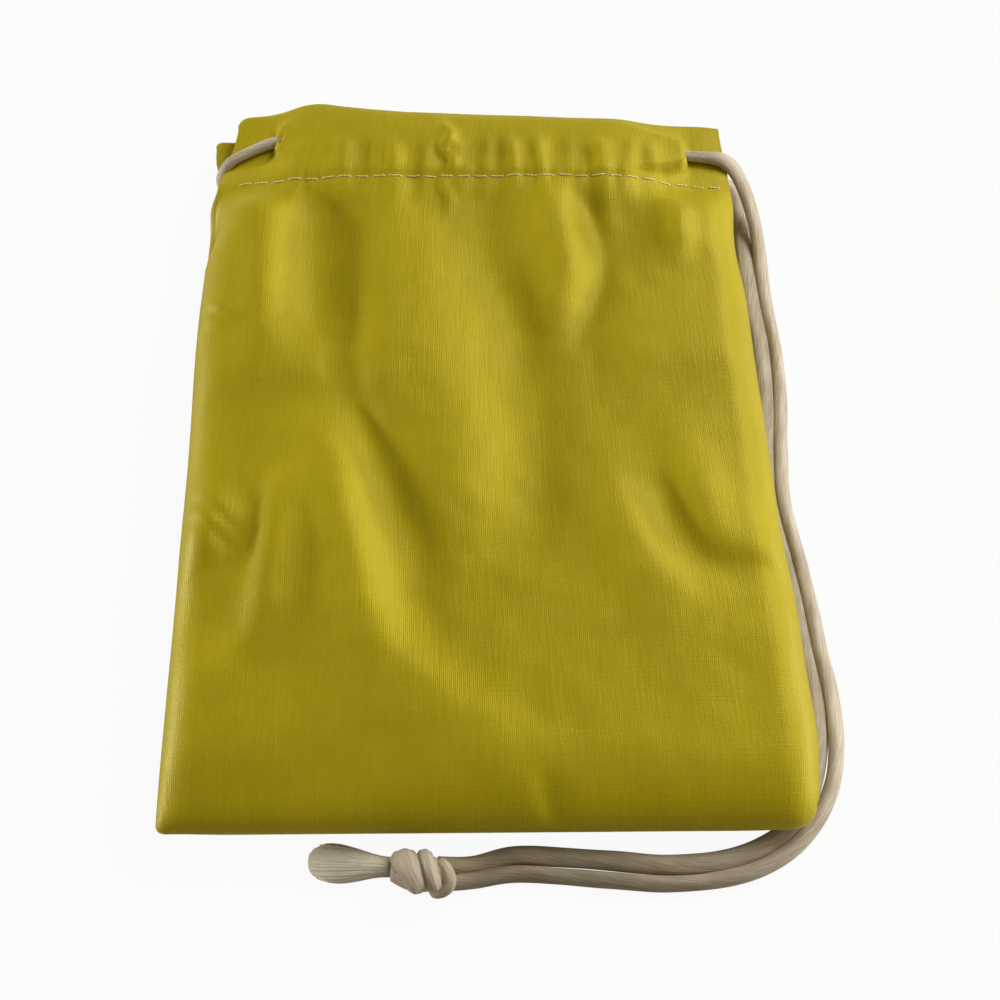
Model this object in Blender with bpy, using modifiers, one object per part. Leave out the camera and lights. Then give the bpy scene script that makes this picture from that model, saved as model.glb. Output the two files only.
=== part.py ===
"""Kinchaku drawstring pouch, lying flat on its back.

One cloth folded at the bottom and sewn up both sides, with a casing turned in at the mouth, sewing
thread, and one drawstring whose two ends leave the casing at the right and are tied below the pouch.
+X is across the pouch to its right, +Y runs from the bottom fold to the mouth, and the back lies on Z = 0.
"""
import math

import bmesh
import bpy
from mathutils import Vector

# Cloth, metres
CLOTH = 0.0005                 # thickness of one layer
CLEAR = 0.0003                 # gap between pieces that touch on the real pouch
THREAD = 0.0004                # sewing thread diameter
CORD = 0.0028                  # drawstring diameter

# Outline in plan
FOLD_Y = -0.0682               # bottom fold
STITCH_Y = 0.0508              # stitch line of the casing
VENT = 0.0040                  # the side seams stop this far below the stitch line
CASING_DEPTH = 0.0156          # stitch line to the mouth's edge, at the middle
CORD_RISE = 0.0064             # stitch line to the drawstring, at the middle
MOUTH_SLANT = 0.050            # the mouth's edge falls by this much for each unit to the right
HEM_TURN = 0.0012              # turned-in cloth that runs on past the stitch line
LEFT_REACH = 0.0500            # centre line to the left seam
LEFT_BULGE = 0.0006            # outward bow of the left seam
LEFT_BULGE_Y = 0.0190
LEFT_BULGE_SPREAD = 0.0180
RIGHT_REACH = 0.0502           # centre line to the right seam
RIGHT_STEP = 0.0020            # the right edge is drawn in above this notch
RIGHT_STEP_FROM_Y = -0.0250
RIGHT_STEP_TO_Y = -0.0130
RIGHT_GATHER = 0.0028          # and drawn in further towards the mouth
RIGHT_GATHER_FROM_Y = 0.0270
LEFT_CORNER = 0.0012           # plan radius of the bottom corners
RIGHT_CORNER = 0.0042

# Casing ends, where front and back part above the vents
FRONT_LEFT_REACH = 0.0460
FRONT_RIGHT_REACH = 0.0446
BACK_LEFT_REACH = 0.0500
BACK_RIGHT_REACH = 0.0452
BACK_SET_BACK = 0.0026         # the back's mouth edge lies this much nearer the fold than the front's
WRAP_PINCH = 0.0030            # the cord draws the back casing in by this much where it wraps
WRAP_PINCH_SPREAD = 0.0032
WRAP_DROP = 0.0036             # and wraps this far below its line in the casing

# Heights
SEAM_HEIGHT = 0.0050           # side seams and bottom fold
FOOT_CROWN = 0.0092            # front cloth just above the bottom fold
BELLY_CROWN = 0.0121           # front cloth over the middle
BELLY_Y = -0.0250              # the front reaches its belly height here
FRONT_SIDE_ROUND = 0.0095
FRONT_FOLD_ROUND = 0.0085
BACK_SIDE_ROUND = 0.0115
BACK_FOLD_ROUND = 0.0065
BACK_LIFT_POWER = 1.6
MOUTH_OPEN = 0.0046            # free height between the two casings
FRONT_END_HEIGHT = 0.0080      # middle of the folded casing at its side ends
BACK_END_HEIGHT = 0.00455
STITCH_GROOVE = 0.0009         # the stitch line pulls the cloth in

# Slits in the outer layer that let the drawstring in and out
LEFT_SLIT_X = -0.0390
RIGHT_SLIT_X = 0.0387
SLIT_RUN = 0.0062              # length over which the casing closes down beside a slit
SLIT_LENGTH = 0.0082

# Gathers that the drawstring leaves in the casing
GATHER_HEIGHT = 0.0006
GATHER_PITCH = 0.0135
GATHER_FADE = 0.0120

# Folds of the front: name, route in (x, y), half width, height, all metres
FOLDS = (
    ("long valley", ((-0.0225, 0.0210), (-0.0190, 0.0060), (-0.0090, -0.0220)), 0.0040, -0.0024),
    ("ridge by the valley", ((-0.0245, 0.0040), (-0.0200, -0.0160), (-0.0155, -0.0330)), 0.0050, 0.0018),
    ("broad middle ridge", ((-0.0030, 0.0340), (0.0030, 0.0080), (0.0048, -0.0210)), 0.0075, 0.0016),
    ("valley right of the middle", ((0.0000, 0.0350), (0.0135, 0.0110)), 0.0044, -0.0014),
    ("ridge under the casing", ((0.0150, 0.0460), (0.0180, 0.0240), (0.0165, 0.0150)), 0.0046, 0.0013),
    ("puff by the right slit", ((0.0350, 0.0400), (0.0330, 0.0180)), 0.0070, 0.0012),
    ("crescent to the notch", ((0.0290, -0.0060), (0.0340, -0.0220), (0.0480, -0.0262)), 0.0044, -0.0022),
    ("pocket above the notch", ((0.0400, -0.0080), (0.0425, -0.0170)), 0.0060, 0.0013),
    ("ridge under the left slit", ((-0.0365, 0.0430), (-0.0355, 0.0200)), 0.0042, 0.0010),
    ("valley under the left slit", ((-0.0285, 0.0450), (-0.0275, 0.0180)), 0.0044, -0.0011),
    ("dent at the left edge", ((-0.0440, -0.0130), (-0.0400, -0.0340)), 0.0060, -0.0016),
    ("small ridge beside the dent", ((-0.0350, -0.0130), (-0.0315, -0.0280)), 0.0044, 0.0012),
    ("low valley across the foot", ((-0.0250, -0.0480), (0.0080, -0.0400)), 0.0065, -0.0010),
)

# Grid of the cloth
MIDDLE_COLUMNS = 18
EDGE_STEPS = 4
BODY_ROWS = 20
CASING_ROWS = 6
MOUTH_STEPS = 3

# Free cord
TABLE_CORD_HEIGHT = CORD / 2 + 0.00005
ROUTE_STEPS = 2
STRAND_LEAD = 0.0012           # each free end goes straight on by this much from its slit

# Free end from the front casing: over its side end, down the right edge and round the corner to the knot
FRONT_STRAND_ROUTE = (
    (0.0437, 0.0549, 0.0110),
    (0.0466, 0.0530, 0.0099),
    (0.0486, 0.0490, 0.0074),
    (0.0497, 0.0440, 0.0046),
    (0.0504, 0.0390, 0.0024),
    (0.0509, 0.0330, TABLE_CORD_HEIGHT),
    (0.0517, 0.0220, TABLE_CORD_HEIGHT),
    (0.0516, 0.0100, TABLE_CORD_HEIGHT),
    (0.0508, -0.0010, TABLE_CORD_HEIGHT),
    (0.0505, -0.0120, TABLE_CORD_HEIGHT),
    (0.0513, -0.0230, TABLE_CORD_HEIGHT),
    (0.0527, -0.0330, TABLE_CORD_HEIGHT),
    (0.0545, -0.0430, TABLE_CORD_HEIGHT),
    (0.0553, -0.0520, TABLE_CORD_HEIGHT),
    (0.0539, -0.0610, TABLE_CORD_HEIGHT),
    (0.0500, -0.0677, TABLE_CORD_HEIGHT),
    (0.0440, -0.0726, TABLE_CORD_HEIGHT),
    (0.0368, -0.0755, TABLE_CORD_HEIGHT),
    (0.0280, -0.0764, TABLE_CORD_HEIGHT),
    (0.0180, -0.0757, TABLE_CORD_HEIGHT),
    (0.0080, -0.0748, TABLE_CORD_HEIGHT),
    (-0.0005, -0.0750, TABLE_CORD_HEIGHT),
)

# Free end from the back casing: out from under the right edge, then beside the other end
BACK_STRAND_ROUTE = (
    (0.0438, 0.0535, 0.0016),
    (0.0459, 0.0500, TABLE_CORD_HEIGHT),
    (0.0470, 0.0440, TABLE_CORD_HEIGHT),
    (0.0477, 0.0340, TABLE_CORD_HEIGHT),
    (0.0485, 0.0230, TABLE_CORD_HEIGHT),
    (0.0484, 0.0100, TABLE_CORD_HEIGHT),
    (0.0476, -0.0010, TABLE_CORD_HEIGHT),
    (0.0473, -0.0120, TABLE_CORD_HEIGHT),
    (0.0481, -0.0233, TABLE_CORD_HEIGHT),
    (0.0495, -0.0337, TABLE_CORD_HEIGHT),
    (0.0513, -0.0437, TABLE_CORD_HEIGHT),
    (0.0521, -0.0518, TABLE_CORD_HEIGHT),
    (0.0509, -0.0597, TABLE_CORD_HEIGHT),
    (0.0476, -0.0655, TABLE_CORD_HEIGHT),
    (0.0423, -0.0698, TABLE_CORD_HEIGHT),
    (0.0357, -0.0723, TABLE_CORD_HEIGHT),
    (0.0276, -0.0732, TABLE_CORD_HEIGHT),
    (0.0178, -0.0725, TABLE_CORD_HEIGHT),
    (0.0078, -0.0716, TABLE_CORD_HEIGHT),
    (-0.0005, -0.0718, TABLE_CORD_HEIGHT),
)

# Knot and frayed tail
KNOT_CENTRE = (-0.0103, -0.0742, 0.00295)
KNOT_RADII = (0.0041, 0.0037, 0.0029)
KNOT_WRAP = 0.07
KNOT_ENTRY = 0.0016            # each strand enters the knot this far from its middle
STRAND_END_X = KNOT_CENTRE[0] + KNOT_RADII[0] + CLEAR
TAIL_START_X = KNOT_CENTRE[0] - KNOT_RADII[0] - CLEAR
TAIL_LENGTH = 0.0130
TAIL_FLATNESS = 0.42
TAIL_NECK = 0.0017
TAIL_FLARE = 0.0033
TAIL_END = 0.0024
TAIL_DRIFT = 0.0012

# Heights of the casing that follow from the sizes above
LAYER_GAP = (CLOTH + CLEAR) / 2
CORD_GAP = (CORD + CLOTH) / 2 + CLEAR
BACK_CORD_HEIGHT = CLOTH + CLEAR + CORD / 2
FRONT_CORD_HEIGHT = BACK_CORD_HEIGHT + 2 * CORD_GAP + CLOTH + MOUTH_OPEN
VENT_Y = STITCH_Y - VENT

FRONT = 1
BACK = -1


def smoothstep(start, end, value):
    """0 before start, 1 past end, with a smooth rise between them."""
    share = min(max((value - start) / (end - start), 0.0), 1.0)
    return share * share * (3.0 - 2.0 * share)


def mix(first, second, share):
    return first + (second - first) * share


def bell(distance, spread):
    return math.exp(-(distance / spread) ** 2)


def dome(distance, radius):
    """Rise of a rounded edge: 0 on the edge and 1 from one radius inward."""
    inward = min(max(distance / radius, 0.0), 1.0)
    return math.sqrt(1.0 - (1.0 - inward) ** 2)


def lift(distance, radius):
    """Rise of the back off the table: 1 on the seam, easing to 0 one radius inward."""
    return (1.0 - min(max(distance / radius, 0.0), 1.0)) ** BACK_LIFT_POWER


def left_seam(y):
    return -LEFT_REACH - LEFT_BULGE * bell(y - LEFT_BULGE_Y, LEFT_BULGE_SPREAD)


def right_seam(y):
    step = RIGHT_STEP * smoothstep(RIGHT_STEP_FROM_Y, RIGHT_STEP_TO_Y, y)
    gather = RIGHT_GATHER * smoothstep(RIGHT_GATHER_FROM_Y, VENT_Y, y)
    return RIGHT_REACH - step - gather


def casing_line(x):
    """Y of the drawstring's middle line inside the casing."""
    return STITCH_Y + CORD_RISE - MOUTH_SLANT * x


def mouth_line(side, x):
    """Y of the folded edge at the mouth."""
    set_back = BACK_SET_BACK if side == BACK else 0.0
    return STITCH_Y + CASING_DEPTH - set_back - MOUTH_SLANT * x


def edges(side, y):
    """X of the left and right edge of one panel at height y up the pouch."""
    parted = smoothstep(VENT_Y, STITCH_Y, y)
    left_end = -FRONT_LEFT_REACH
    right_end = FRONT_RIGHT_REACH
    if side == BACK:
        wrap_y = casing_line(LEFT_SLIT_X) - WRAP_DROP
        left_end = -BACK_LEFT_REACH + WRAP_PINCH * bell(y - wrap_y, WRAP_PINCH_SPREAD)
        right_end = BACK_RIGHT_REACH
    return mix(left_seam(y), left_end, parted), mix(right_seam(y), right_end, parted)


def fold_line(x):
    """Y of the bottom fold, with its rounded corners in plan."""
    reach, corner = (LEFT_REACH, LEFT_CORNER) if x < 0 else (RIGHT_REACH, RIGHT_CORNER)
    past = min(max(abs(x) - (reach - corner), 0.0), corner)
    return FOLD_Y + corner - math.sqrt(corner ** 2 - past ** 2)


def distance_to_run(x, y, start, end):
    """Distance from a place to the straight run between two points in plan."""
    run_x = end[0] - start[0]
    run_y = end[1] - start[1]
    share = ((x - start[0]) * run_x + (y - start[1]) * run_y) / (run_x ** 2 + run_y ** 2)
    share = min(max(share, 0.0), 1.0)
    return math.hypot(x - start[0] - share * run_x, y - start[1] - share * run_y)


def fold_relief(x, y):
    """Height that the folds of the front add at one place."""
    relief = 0.0
    for _name, route, half_width, height in FOLDS:
        distance = min(distance_to_run(x, y, start, end) for start, end in zip(route, route[1:]))
        relief += height * bell(distance, half_width)
    return relief


def gather_relief(x, y):
    """Small upright pleats in and just below the casing, never lower than the plain cloth."""
    wave = 0.5 + 0.5 * math.cos(2 * math.pi * x / GATHER_PITCH + math.sin(x / GATHER_PITCH * 2.3))
    return GATHER_HEIGHT * wave * bell(y - casing_line(x) + GATHER_FADE / 2, GATHER_FADE)


def between_slits(x):
    """1 where the casing holds the drawstring, 0 on its flat side ends."""
    from_left = smoothstep(LEFT_SLIT_X - SLIT_RUN / 2, LEFT_SLIT_X + SLIT_RUN / 2, x)
    from_right = 1.0 - smoothstep(RIGHT_SLIT_X - SLIT_RUN / 2, RIGHT_SLIT_X + SLIT_RUN / 2, x)
    return from_left * from_right


def casing_middle(side, x, rise):
    """Height of the casing's middle and half its opening; rise is 0 at the stitches and 1 at the mouth."""
    held = between_slits(x)
    bulge = math.sin(math.pi * min(max(rise, 0.0), 1.0)) ** 0.7
    opening = mix(LAYER_GAP, CORD_GAP, bulge * held)
    if side == FRONT:
        stitched = FRONT_CORD_HEIGHT + CORD_GAP - STITCH_GROOVE - LAYER_GAP
        middle = mix(stitched, FRONT_CORD_HEIGHT, smoothstep(0.0, 0.35, rise))
        return mix(FRONT_END_HEIGHT, middle, held), opening
    stitched = CLOTH / 2 + STITCH_GROOVE + LAYER_GAP
    middle = mix(stitched, BACK_CORD_HEIGHT, smoothstep(0.0, 0.35, rise))
    return mix(BACK_END_HEIGHT, middle, held), opening


def body_height(side, x, y):
    """Middle of the cloth's outer layer below the casing."""
    left, right = edges(side, y)
    from_side = min(x - left, right - x)
    from_fold = y - fold_line(x)
    if side == FRONT:
        crown = mix(FOOT_CROWN, BELLY_CROWN, smoothstep(FOLD_Y, BELLY_Y, y))
        crown += fold_relief(x, y) + gather_relief(x, y)
        rise = dome(from_side, FRONT_SIDE_ROUND) * dome(from_fold, FRONT_FOLD_ROUND)
        return SEAM_HEIGHT + (crown - SEAM_HEIGHT) * rise
    rise = (1.0 - lift(from_side, BACK_SIDE_ROUND)) * dome(from_fold, BACK_FOLD_ROUND)
    return SEAM_HEIGHT + (CLOTH / 2 - SEAM_HEIGHT) * rise


def outer_height(side, x, y):
    """Middle of the outer layer, from the bottom fold to just above the stitch line."""
    middle, opening = casing_middle(side, x, 0.0)
    stitched = middle + side * opening
    return mix(body_height(side, x, y), stitched, smoothstep(VENT_Y - VENT, STITCH_Y, y))


def edge_shares(length, radius):
    """Places across a panel, closer together on its rounded edges."""
    quarter = [radius * (1 - math.cos(math.pi / 2 * step / EDGE_STEPS)) for step in range(EDGE_STEPS)]
    middle = [radius + (length - 2 * radius) * step / MIDDLE_COLUMNS for step in range(MIDDLE_COLUMNS + 1)]
    return quarter + middle + [length - place for place in reversed(quarter)]


def body_rows():
    """Shares of the way from the bottom fold to the stitch line, closer together on the fold."""
    span = STITCH_Y - FOLD_Y
    start = FRONT_FOLD_ROUND / span
    rows = [start * (1 - math.cos(math.pi / 2 * step / EDGE_STEPS)) for step in range(EDGE_STEPS)]
    vent = (VENT_Y - FOLD_Y) / span
    rows += [mix(start, vent, step / BODY_ROWS) for step in range(BODY_ROWS)]
    return rows + [vent, (1 + vent) / 2]


def cloth_rows():
    """Every row of the cloth, from the bottom fold over the mouth to the hem's end, as (place, share)."""
    rows = [("body", share) for share in body_rows()]
    rises = [step / CASING_ROWS for step in range(CASING_ROWS + 1)]
    rows += [("outer", rise) for rise in rises]
    rows += [("turn", step / MOUTH_STEPS) for step in range(1, MOUTH_STEPS)]
    rows += [("inner", rise) for rise in reversed(rises)]
    return rows + [("hem end", -HEM_TURN / CASING_DEPTH)]


def cloth_point(side, across, row):
    """One point of the cloth's middle surface, across being 0 at the left edge and 1 at the right."""
    place, share = row
    if place == "body":
        level = mix(FOLD_Y, STITCH_Y, share)
        left, right = edges(side, level)
        x = mix(left, right, across)
        y = mix(fold_line(x), STITCH_Y, share)
        return Vector((x, y, outer_height(side, x, y)))
    rise = 1.0 if place == "turn" else share
    level = mix(STITCH_Y, STITCH_Y + CASING_DEPTH, rise)
    left, right = edges(side, level)
    x = mix(left, right, across)
    middle, opening = casing_middle(side, x, rise)
    y = mix(STITCH_Y, mouth_line(side, x) - LAYER_GAP, rise)
    if place == "turn":
        angle = math.pi * share
        return Vector((x, y + opening * math.sin(angle), middle + side * opening * math.cos(angle)))
    if place == "outer":
        ripple = gather_relief(x, y) * between_slits(x) if side == FRONT else 0.0
        return Vector((x, y, middle + side * opening + ripple * math.sin(math.pi * rise)))
    return Vector((x, y, middle - side * opening))


def new_material(name, colour, roughness):
    material = bpy.data.materials.new(name)
    material.use_nodes = True
    shader = material.node_tree.nodes["Principled BSDF"]
    shader.inputs["Base Color"].default_value = (*colour, 1.0)
    shader.inputs["Roughness"].default_value = roughness
    shader.inputs["Metallic"].default_value = 0.0
    return material


def add_object(name, data, material, collection):
    thing = bpy.data.objects.new(name, data)
    data.materials.append(material)
    collection.objects.link(thing)
    return thing


def panel_grid(cloth, side):
    """One panel of the cloth: a flat grid whose vertices are moved to the panel's shape."""
    rows = cloth_rows()
    shares = edge_shares(1.0, FRONT_SIDE_ROUND / (LEFT_REACH + RIGHT_REACH))
    columns = len(shares) - 1
    last_row = len(rows) - 1
    made = bmesh.ops.create_grid(cloth, x_segments=columns, y_segments=last_row, size=0.5)
    for vertex in made["verts"]:
        column = round((vertex.co.x + 0.5) * columns)
        row = round((vertex.co.y + 0.5) * last_row)
        vertex.co = cloth_point(side, shares[column], rows[row])


def slit_cutter(name, side, slit_x, collection):
    """A box through the outer layer of a casing, just clear of the inner layer."""
    cord_height = FRONT_CORD_HEIGHT if side == FRONT else BACK_CORD_HEIGHT
    inner_face = cord_height - side * (CORD / 2 + CLEAR / 2)
    outer_face = cord_height + side * (CORD_GAP + CLOTH + 4 * GATHER_HEIGHT)
    bm = bmesh.new()
    bmesh.ops.create_cube(bm, size=1.0)
    data = bpy.data.meshes.new(name)
    bm.to_mesh(data)
    bm.free()
    cutter = bpy.data.objects.new(name, data)
    cutter.location = (slit_x, casing_line(slit_x), (inner_face + outer_face) / 2)
    cutter.scale = (SLIT_LENGTH, CORD + 4 * CLEAR, abs(outer_face - inner_face))
    cutter.hide_render = True
    cutter.display_type = "WIRE"
    collection.objects.link(cutter)
    return cutter


def build_pouch_body(material, parts, cutters):
    cloth = bmesh.new()
    panel_grid(cloth, FRONT)
    panel_grid(cloth, BACK)
    bmesh.ops.remove_doubles(cloth, verts=cloth.verts, dist=0.00001)
    bmesh.ops.recalc_face_normals(cloth, faces=cloth.faces)
    data = bpy.data.meshes.new("pouch_body")
    cloth.to_mesh(data)
    cloth.free()
    data.shade_smooth()
    body = add_object("pouch_body", data, material, parts)
    thickness = body.modifiers.new("cloth thickness", "SOLIDIFY")
    thickness.thickness = CLOTH
    thickness.offset = 0.0
    thickness.use_even_offset = True
    for side, side_name in ((FRONT, "front"), (BACK, "back")):
        for slit_x, end_name in ((LEFT_SLIT_X, "left"), (RIGHT_SLIT_X, "right")):
            cutter = slit_cutter(f"{side_name}_{end_name}_slit_cutter", side, slit_x, cutters)
            cut = body.modifiers.new(f"{side_name} {end_name} slit", "BOOLEAN")
            cut.operation = "DIFFERENCE"
            cut.solver = "EXACT"
            cut.object = cutter
    return body


def tube(name, points, diameter, material, collection):
    curve = bpy.data.curves.new(name, "CURVE")
    curve.dimensions = "3D"
    curve.bevel_depth = diameter / 2
    curve.bevel_resolution = 2
    curve.use_fill_caps = True
    spline = curve.splines.new("POLY")
    spline.points.add(len(points) - 1)
    for point, place in zip(spline.points, points):
        point.co = (*place, 1.0)
    return add_object(name, curve, material, collection)


def smooth_route(route, steps):
    """Points on a smooth curve through the route's own points."""
    route = [Vector(place) for place in route]
    ahead = [2 * route[0] - route[1]] + route + [2 * route[-1] - route[-2]]
    points = []
    for before, start, end, after in zip(ahead, ahead[1:], ahead[2:], ahead[3:]):
        for step in range(steps):
            share = step / steps
            bend = 2 * before - 5 * start + 4 * end - after
            twist = 3 * start - before - 3 * end + after
            points.append(start + 0.5 * share * (end - before + share * (bend + share * twist)))
    return points + [route[-1]]


def hem_thread(name, side, material, collection):
    """The row of stitches of one casing, lying in the groove of the outer layer."""
    shares = edge_shares(1.0, FRONT_SIDE_ROUND / (LEFT_REACH + RIGHT_REACH))
    lift = side * (CLOTH / 2 + CLEAR + THREAD / 2)
    points = [cloth_point(side, share, ("outer", 0.0)) + Vector((0, 0, lift)) for share in shares[1:-1]]
    return tube(name, points, THREAD, material, collection)


def seam_thread(name, across, material, collection):
    """The thread of one side seam, inside the pouch from the bottom fold to the vent."""
    inset = CLOTH + CLEAR + THREAD / 2
    inward = Vector(((1 - 2 * across) * inset, 0, CLOTH))
    rows = [("body", share) for share in body_rows()[EDGE_STEPS - 1:-2]]
    points = [cloth_point(FRONT, across, row) + inward for row in rows]
    return tube(name, points, THREAD, material, collection)


def held_route():
    """The drawstring from the front right slit through both casings to the back right slit."""
    end_x = RIGHT_SLIT_X + SLIT_LENGTH / 2 - CORD / 2
    front = [(x, casing_line(x), FRONT_CORD_HEIGHT) for x in (end_x, 0.0200, 0.0, -0.0200, LEFT_SLIT_X)]
    back = [(x, casing_line(x), BACK_CORD_HEIGHT) for x in (LEFT_SLIT_X, -0.0200, 0.0, 0.0200, end_x)]
    wrap_y = casing_line(LEFT_SLIT_X)
    front_end = FRONT_END_HEIGHT + LAYER_GAP + CORD_GAP
    edge_x = -BACK_LEFT_REACH + WRAP_PINCH - CORD_GAP
    wrap = [
        (-FRONT_LEFT_REACH + 0.0030, wrap_y - 0.0018, front_end + 0.0004),
        (-FRONT_LEFT_REACH - 0.0006, wrap_y - 0.0030, front_end - 0.0001),
        (edge_x + 0.0001, wrap_y - WRAP_DROP, front_end - 0.0024),
        (edge_x - 0.0002, wrap_y - WRAP_DROP, BACK_END_HEIGHT),
        (edge_x + 0.0007, wrap_y - WRAP_DROP, TABLE_CORD_HEIGHT + 0.0012),
        (-FRONT_LEFT_REACH + 0.0004, wrap_y - 0.0022, TABLE_CORD_HEIGHT + 0.0001),
        (-FRONT_LEFT_REACH + 0.0040, wrap_y - 0.0010, TABLE_CORD_HEIGHT + 0.0002),
    ]
    return front + wrap + back


def strand(name, side, route, material, collection):
    """One free end of the drawstring, from its slit to the knot."""
    start_height = FRONT_CORD_HEIGHT if side == FRONT else BACK_CORD_HEIGHT
    start_x = RIGHT_SLIT_X + SLIT_LENGTH / 2 - CORD / 2 + CLEAR
    lead_x = start_x + STRAND_LEAD
    start = (start_x, casing_line(start_x), start_height)
    lead = (lead_x, casing_line(lead_x), start_height)
    end = (STRAND_END_X, KNOT_CENTRE[1] - side * KNOT_ENTRY, KNOT_CENTRE[2] - CORD / 4)
    return tube(name, smooth_route((start, lead, *route, end), ROUTE_STEPS), CORD, material, collection)


def build_knot(material, collection):
    """An overhand knot of both ends: a rounded lump with the turns of the cord standing out on it."""
    bm = bmesh.new()
    bmesh.ops.create_uvsphere(bm, u_segments=20, v_segments=12, radius=1.0)
    for vertex in bm.verts:
        around = math.atan2(vertex.co.y, vertex.co.x)
        swell = 1.0 + KNOT_WRAP * math.cos(3 * around + 5 * vertex.co.z) - KNOT_WRAP
        vertex.co = Vector([part * radius * swell for part, radius in zip(vertex.co, KNOT_RADII)])
    data = bpy.data.meshes.new("drawstring_knot")
    bm.to_mesh(data)
    bm.free()
    data.shade_smooth()
    knot = add_object("drawstring_knot", data, material, collection)
    knot.location = KNOT_CENTRE
    return knot


def build_tail(material, collection):
    """Both frayed ends past the knot: a flat brush that flares from a narrow neck."""
    swelling = [mix(TAIL_NECK, TAIL_FLARE, share) for share in (0.0, 0.25, 0.8, 1.0)]
    radii = (*swelling, TAIL_END)
    points = []
    for step in range(len(radii)):
        share = step / (len(radii) - 1)
        points.append((TAIL_START_X - TAIL_LENGTH * share, KNOT_CENTRE[1] + TAIL_DRIFT * share, 0.0))
    tail = tube("drawstring_tail", points, 2.0, material, collection)
    for point, radius in zip(tail.data.splines[0].points, radii):
        point.radius = radius
    tail.scale.z = TAIL_FLATNESS
    tail.location.z = TAIL_FLARE * TAIL_FLATNESS + 0.0001
    return tail


def build():
    for thing in list(bpy.data.objects):
        bpy.data.objects.remove(thing, do_unlink=True)
    parts = bpy.data.collections.new("kinchaku_drawstring_pouch")
    cutters = bpy.data.collections.new("cutters")
    bpy.context.scene.collection.children.link(parts)
    bpy.context.scene.collection.children.link(cutters)

    cloth = new_material("mustard cloth", (0.40, 0.33, 0.012), 0.55)
    thread = new_material("pale thread", (0.62, 0.52, 0.20), 0.70)
    cord = new_material("greige cord", (0.52, 0.43, 0.32), 0.60)

    build_pouch_body(cloth, parts, cutters)
    hem_thread("front_hem_thread", FRONT, thread, parts)
    hem_thread("back_hem_thread", BACK, thread, parts)
    seam_thread("left_seam_thread", 0.0, thread, parts)
    seam_thread("right_seam_thread", 1.0, thread, parts)
    tube("drawstring_held", smooth_route(held_route(), ROUTE_STEPS), CORD, cord, parts)
    strand("drawstring_front_strand", FRONT, FRONT_STRAND_ROUTE, cord, parts)
    strand("drawstring_back_strand", BACK, BACK_STRAND_ROUTE, cord, parts)
    build_knot(cord, parts)
    build_tail(cord, parts)


build()
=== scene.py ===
# Looks of the kinchaku drawstring pouch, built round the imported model.
# +X is across the pouch, +Y runs from the bottom fold to the mouth, the back lies on Z = 0, all in metres.
import math

import bmesh
import bpy
import numpy as np
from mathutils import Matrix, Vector, noise
from mathutils.bvhtree import BVHTree


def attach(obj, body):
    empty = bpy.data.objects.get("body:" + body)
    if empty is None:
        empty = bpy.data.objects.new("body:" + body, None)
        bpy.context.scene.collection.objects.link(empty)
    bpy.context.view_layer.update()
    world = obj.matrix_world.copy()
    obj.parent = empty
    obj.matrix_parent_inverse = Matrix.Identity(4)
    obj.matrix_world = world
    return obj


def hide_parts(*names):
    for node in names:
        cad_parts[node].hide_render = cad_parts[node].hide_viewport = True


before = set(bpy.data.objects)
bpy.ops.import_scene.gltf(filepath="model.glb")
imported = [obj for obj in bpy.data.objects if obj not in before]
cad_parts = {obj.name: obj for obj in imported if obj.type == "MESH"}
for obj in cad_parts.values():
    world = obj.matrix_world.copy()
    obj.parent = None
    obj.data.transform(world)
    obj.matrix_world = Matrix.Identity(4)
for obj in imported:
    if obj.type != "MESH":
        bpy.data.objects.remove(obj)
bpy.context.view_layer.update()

MM = 0.001

# Thickness of the cloth, thread and cord, and the gap between things that touch
CLOTH = 0.0005
CLEAR = 0.0003
THREAD = 0.0004
CORD = 0.0028

# Outline of the pouch
FOLD_Y = -0.0682
STITCH_Y = 0.0508
VENT = 0.0040  # each side seam stays open this far below the stitches
CASING_DEPTH = 0.0156
CORD_RISE = 0.0085  # the middle of the tunnel lies this far above the stitches
MOUTH_SLANT = 0.050
HEM_TURN = 0.0012
LEFT_REACH = 0.0500
LEFT_BULGE = 0.0006
LEFT_BULGE_Y = 0.0190
LEFT_BULGE_SPREAD = 0.0180
RIGHT_REACH = 0.0502
# Line of the right seam, as (y, x) in millimetres
RIGHT_SEAM = (
    (-70, 50.4), (-64, 50.8), (-60.5, 51.1), (-56, 51.1), (-47.7, 50.5), (-37.5, 50.1), (-30.4, 49.7),
    (-24, 49.0), (-19, 48.6), (-12, 48.3), (-2.4, 47.95), (7.6, 47.4), (18, 46.95), (25, 46.75), (29, 46.5),
    (33, 46.0), (39, 45.5), (47, 45.6), (54, 45.6),
)
LEFT_CORNER = 0.0012
RIGHT_CORNER = 0.0042

# Ends of the casings and line of the mouth
FRONT_LEFT_REACH = 0.0462
LEFT_FLARE = 0.0026  # the front's left end reaches this much further at the stitches
LEFT_STRIP = 0.0013  # flat strip of the left seam below the vent
LEFT_STRIP_RUN = (0.0340, 0.0420)
LEFT_STRIP_SLOPE = 0.05
FRONT_RIGHT_REACH = 0.0446
BACK_LEFT_REACH = 0.0507
BACK_RIGHT_REACH = 0.0452
BACK_SET_BACK = 0.0026  # the back's mouth lies this much below the front's
MOUTH_CORNER = 0.0020
BACK_MOUTH_CORNER = 0.0011
RIGHT_CORNER_SLOPE = 0.0011
WRAP_PINCH = 0.0022  # the drawstring pulls the back's left end in where it goes round it
WRAP_PINCH_SPREAD = 0.0032
WRAP_DROP = 0.0049
STITCH_PINCH = 0.0009  # and the stitches pull it in as well
STITCH_PINCH_SPREAD = 0.0030
MOUTH_HUMPS = ((0.0011, -0.0318, 0.0044), (0.0007, -0.0270, 0.0090))  # height, x and spread
FRONT_RIGHT_CREST = 0.0009
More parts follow.
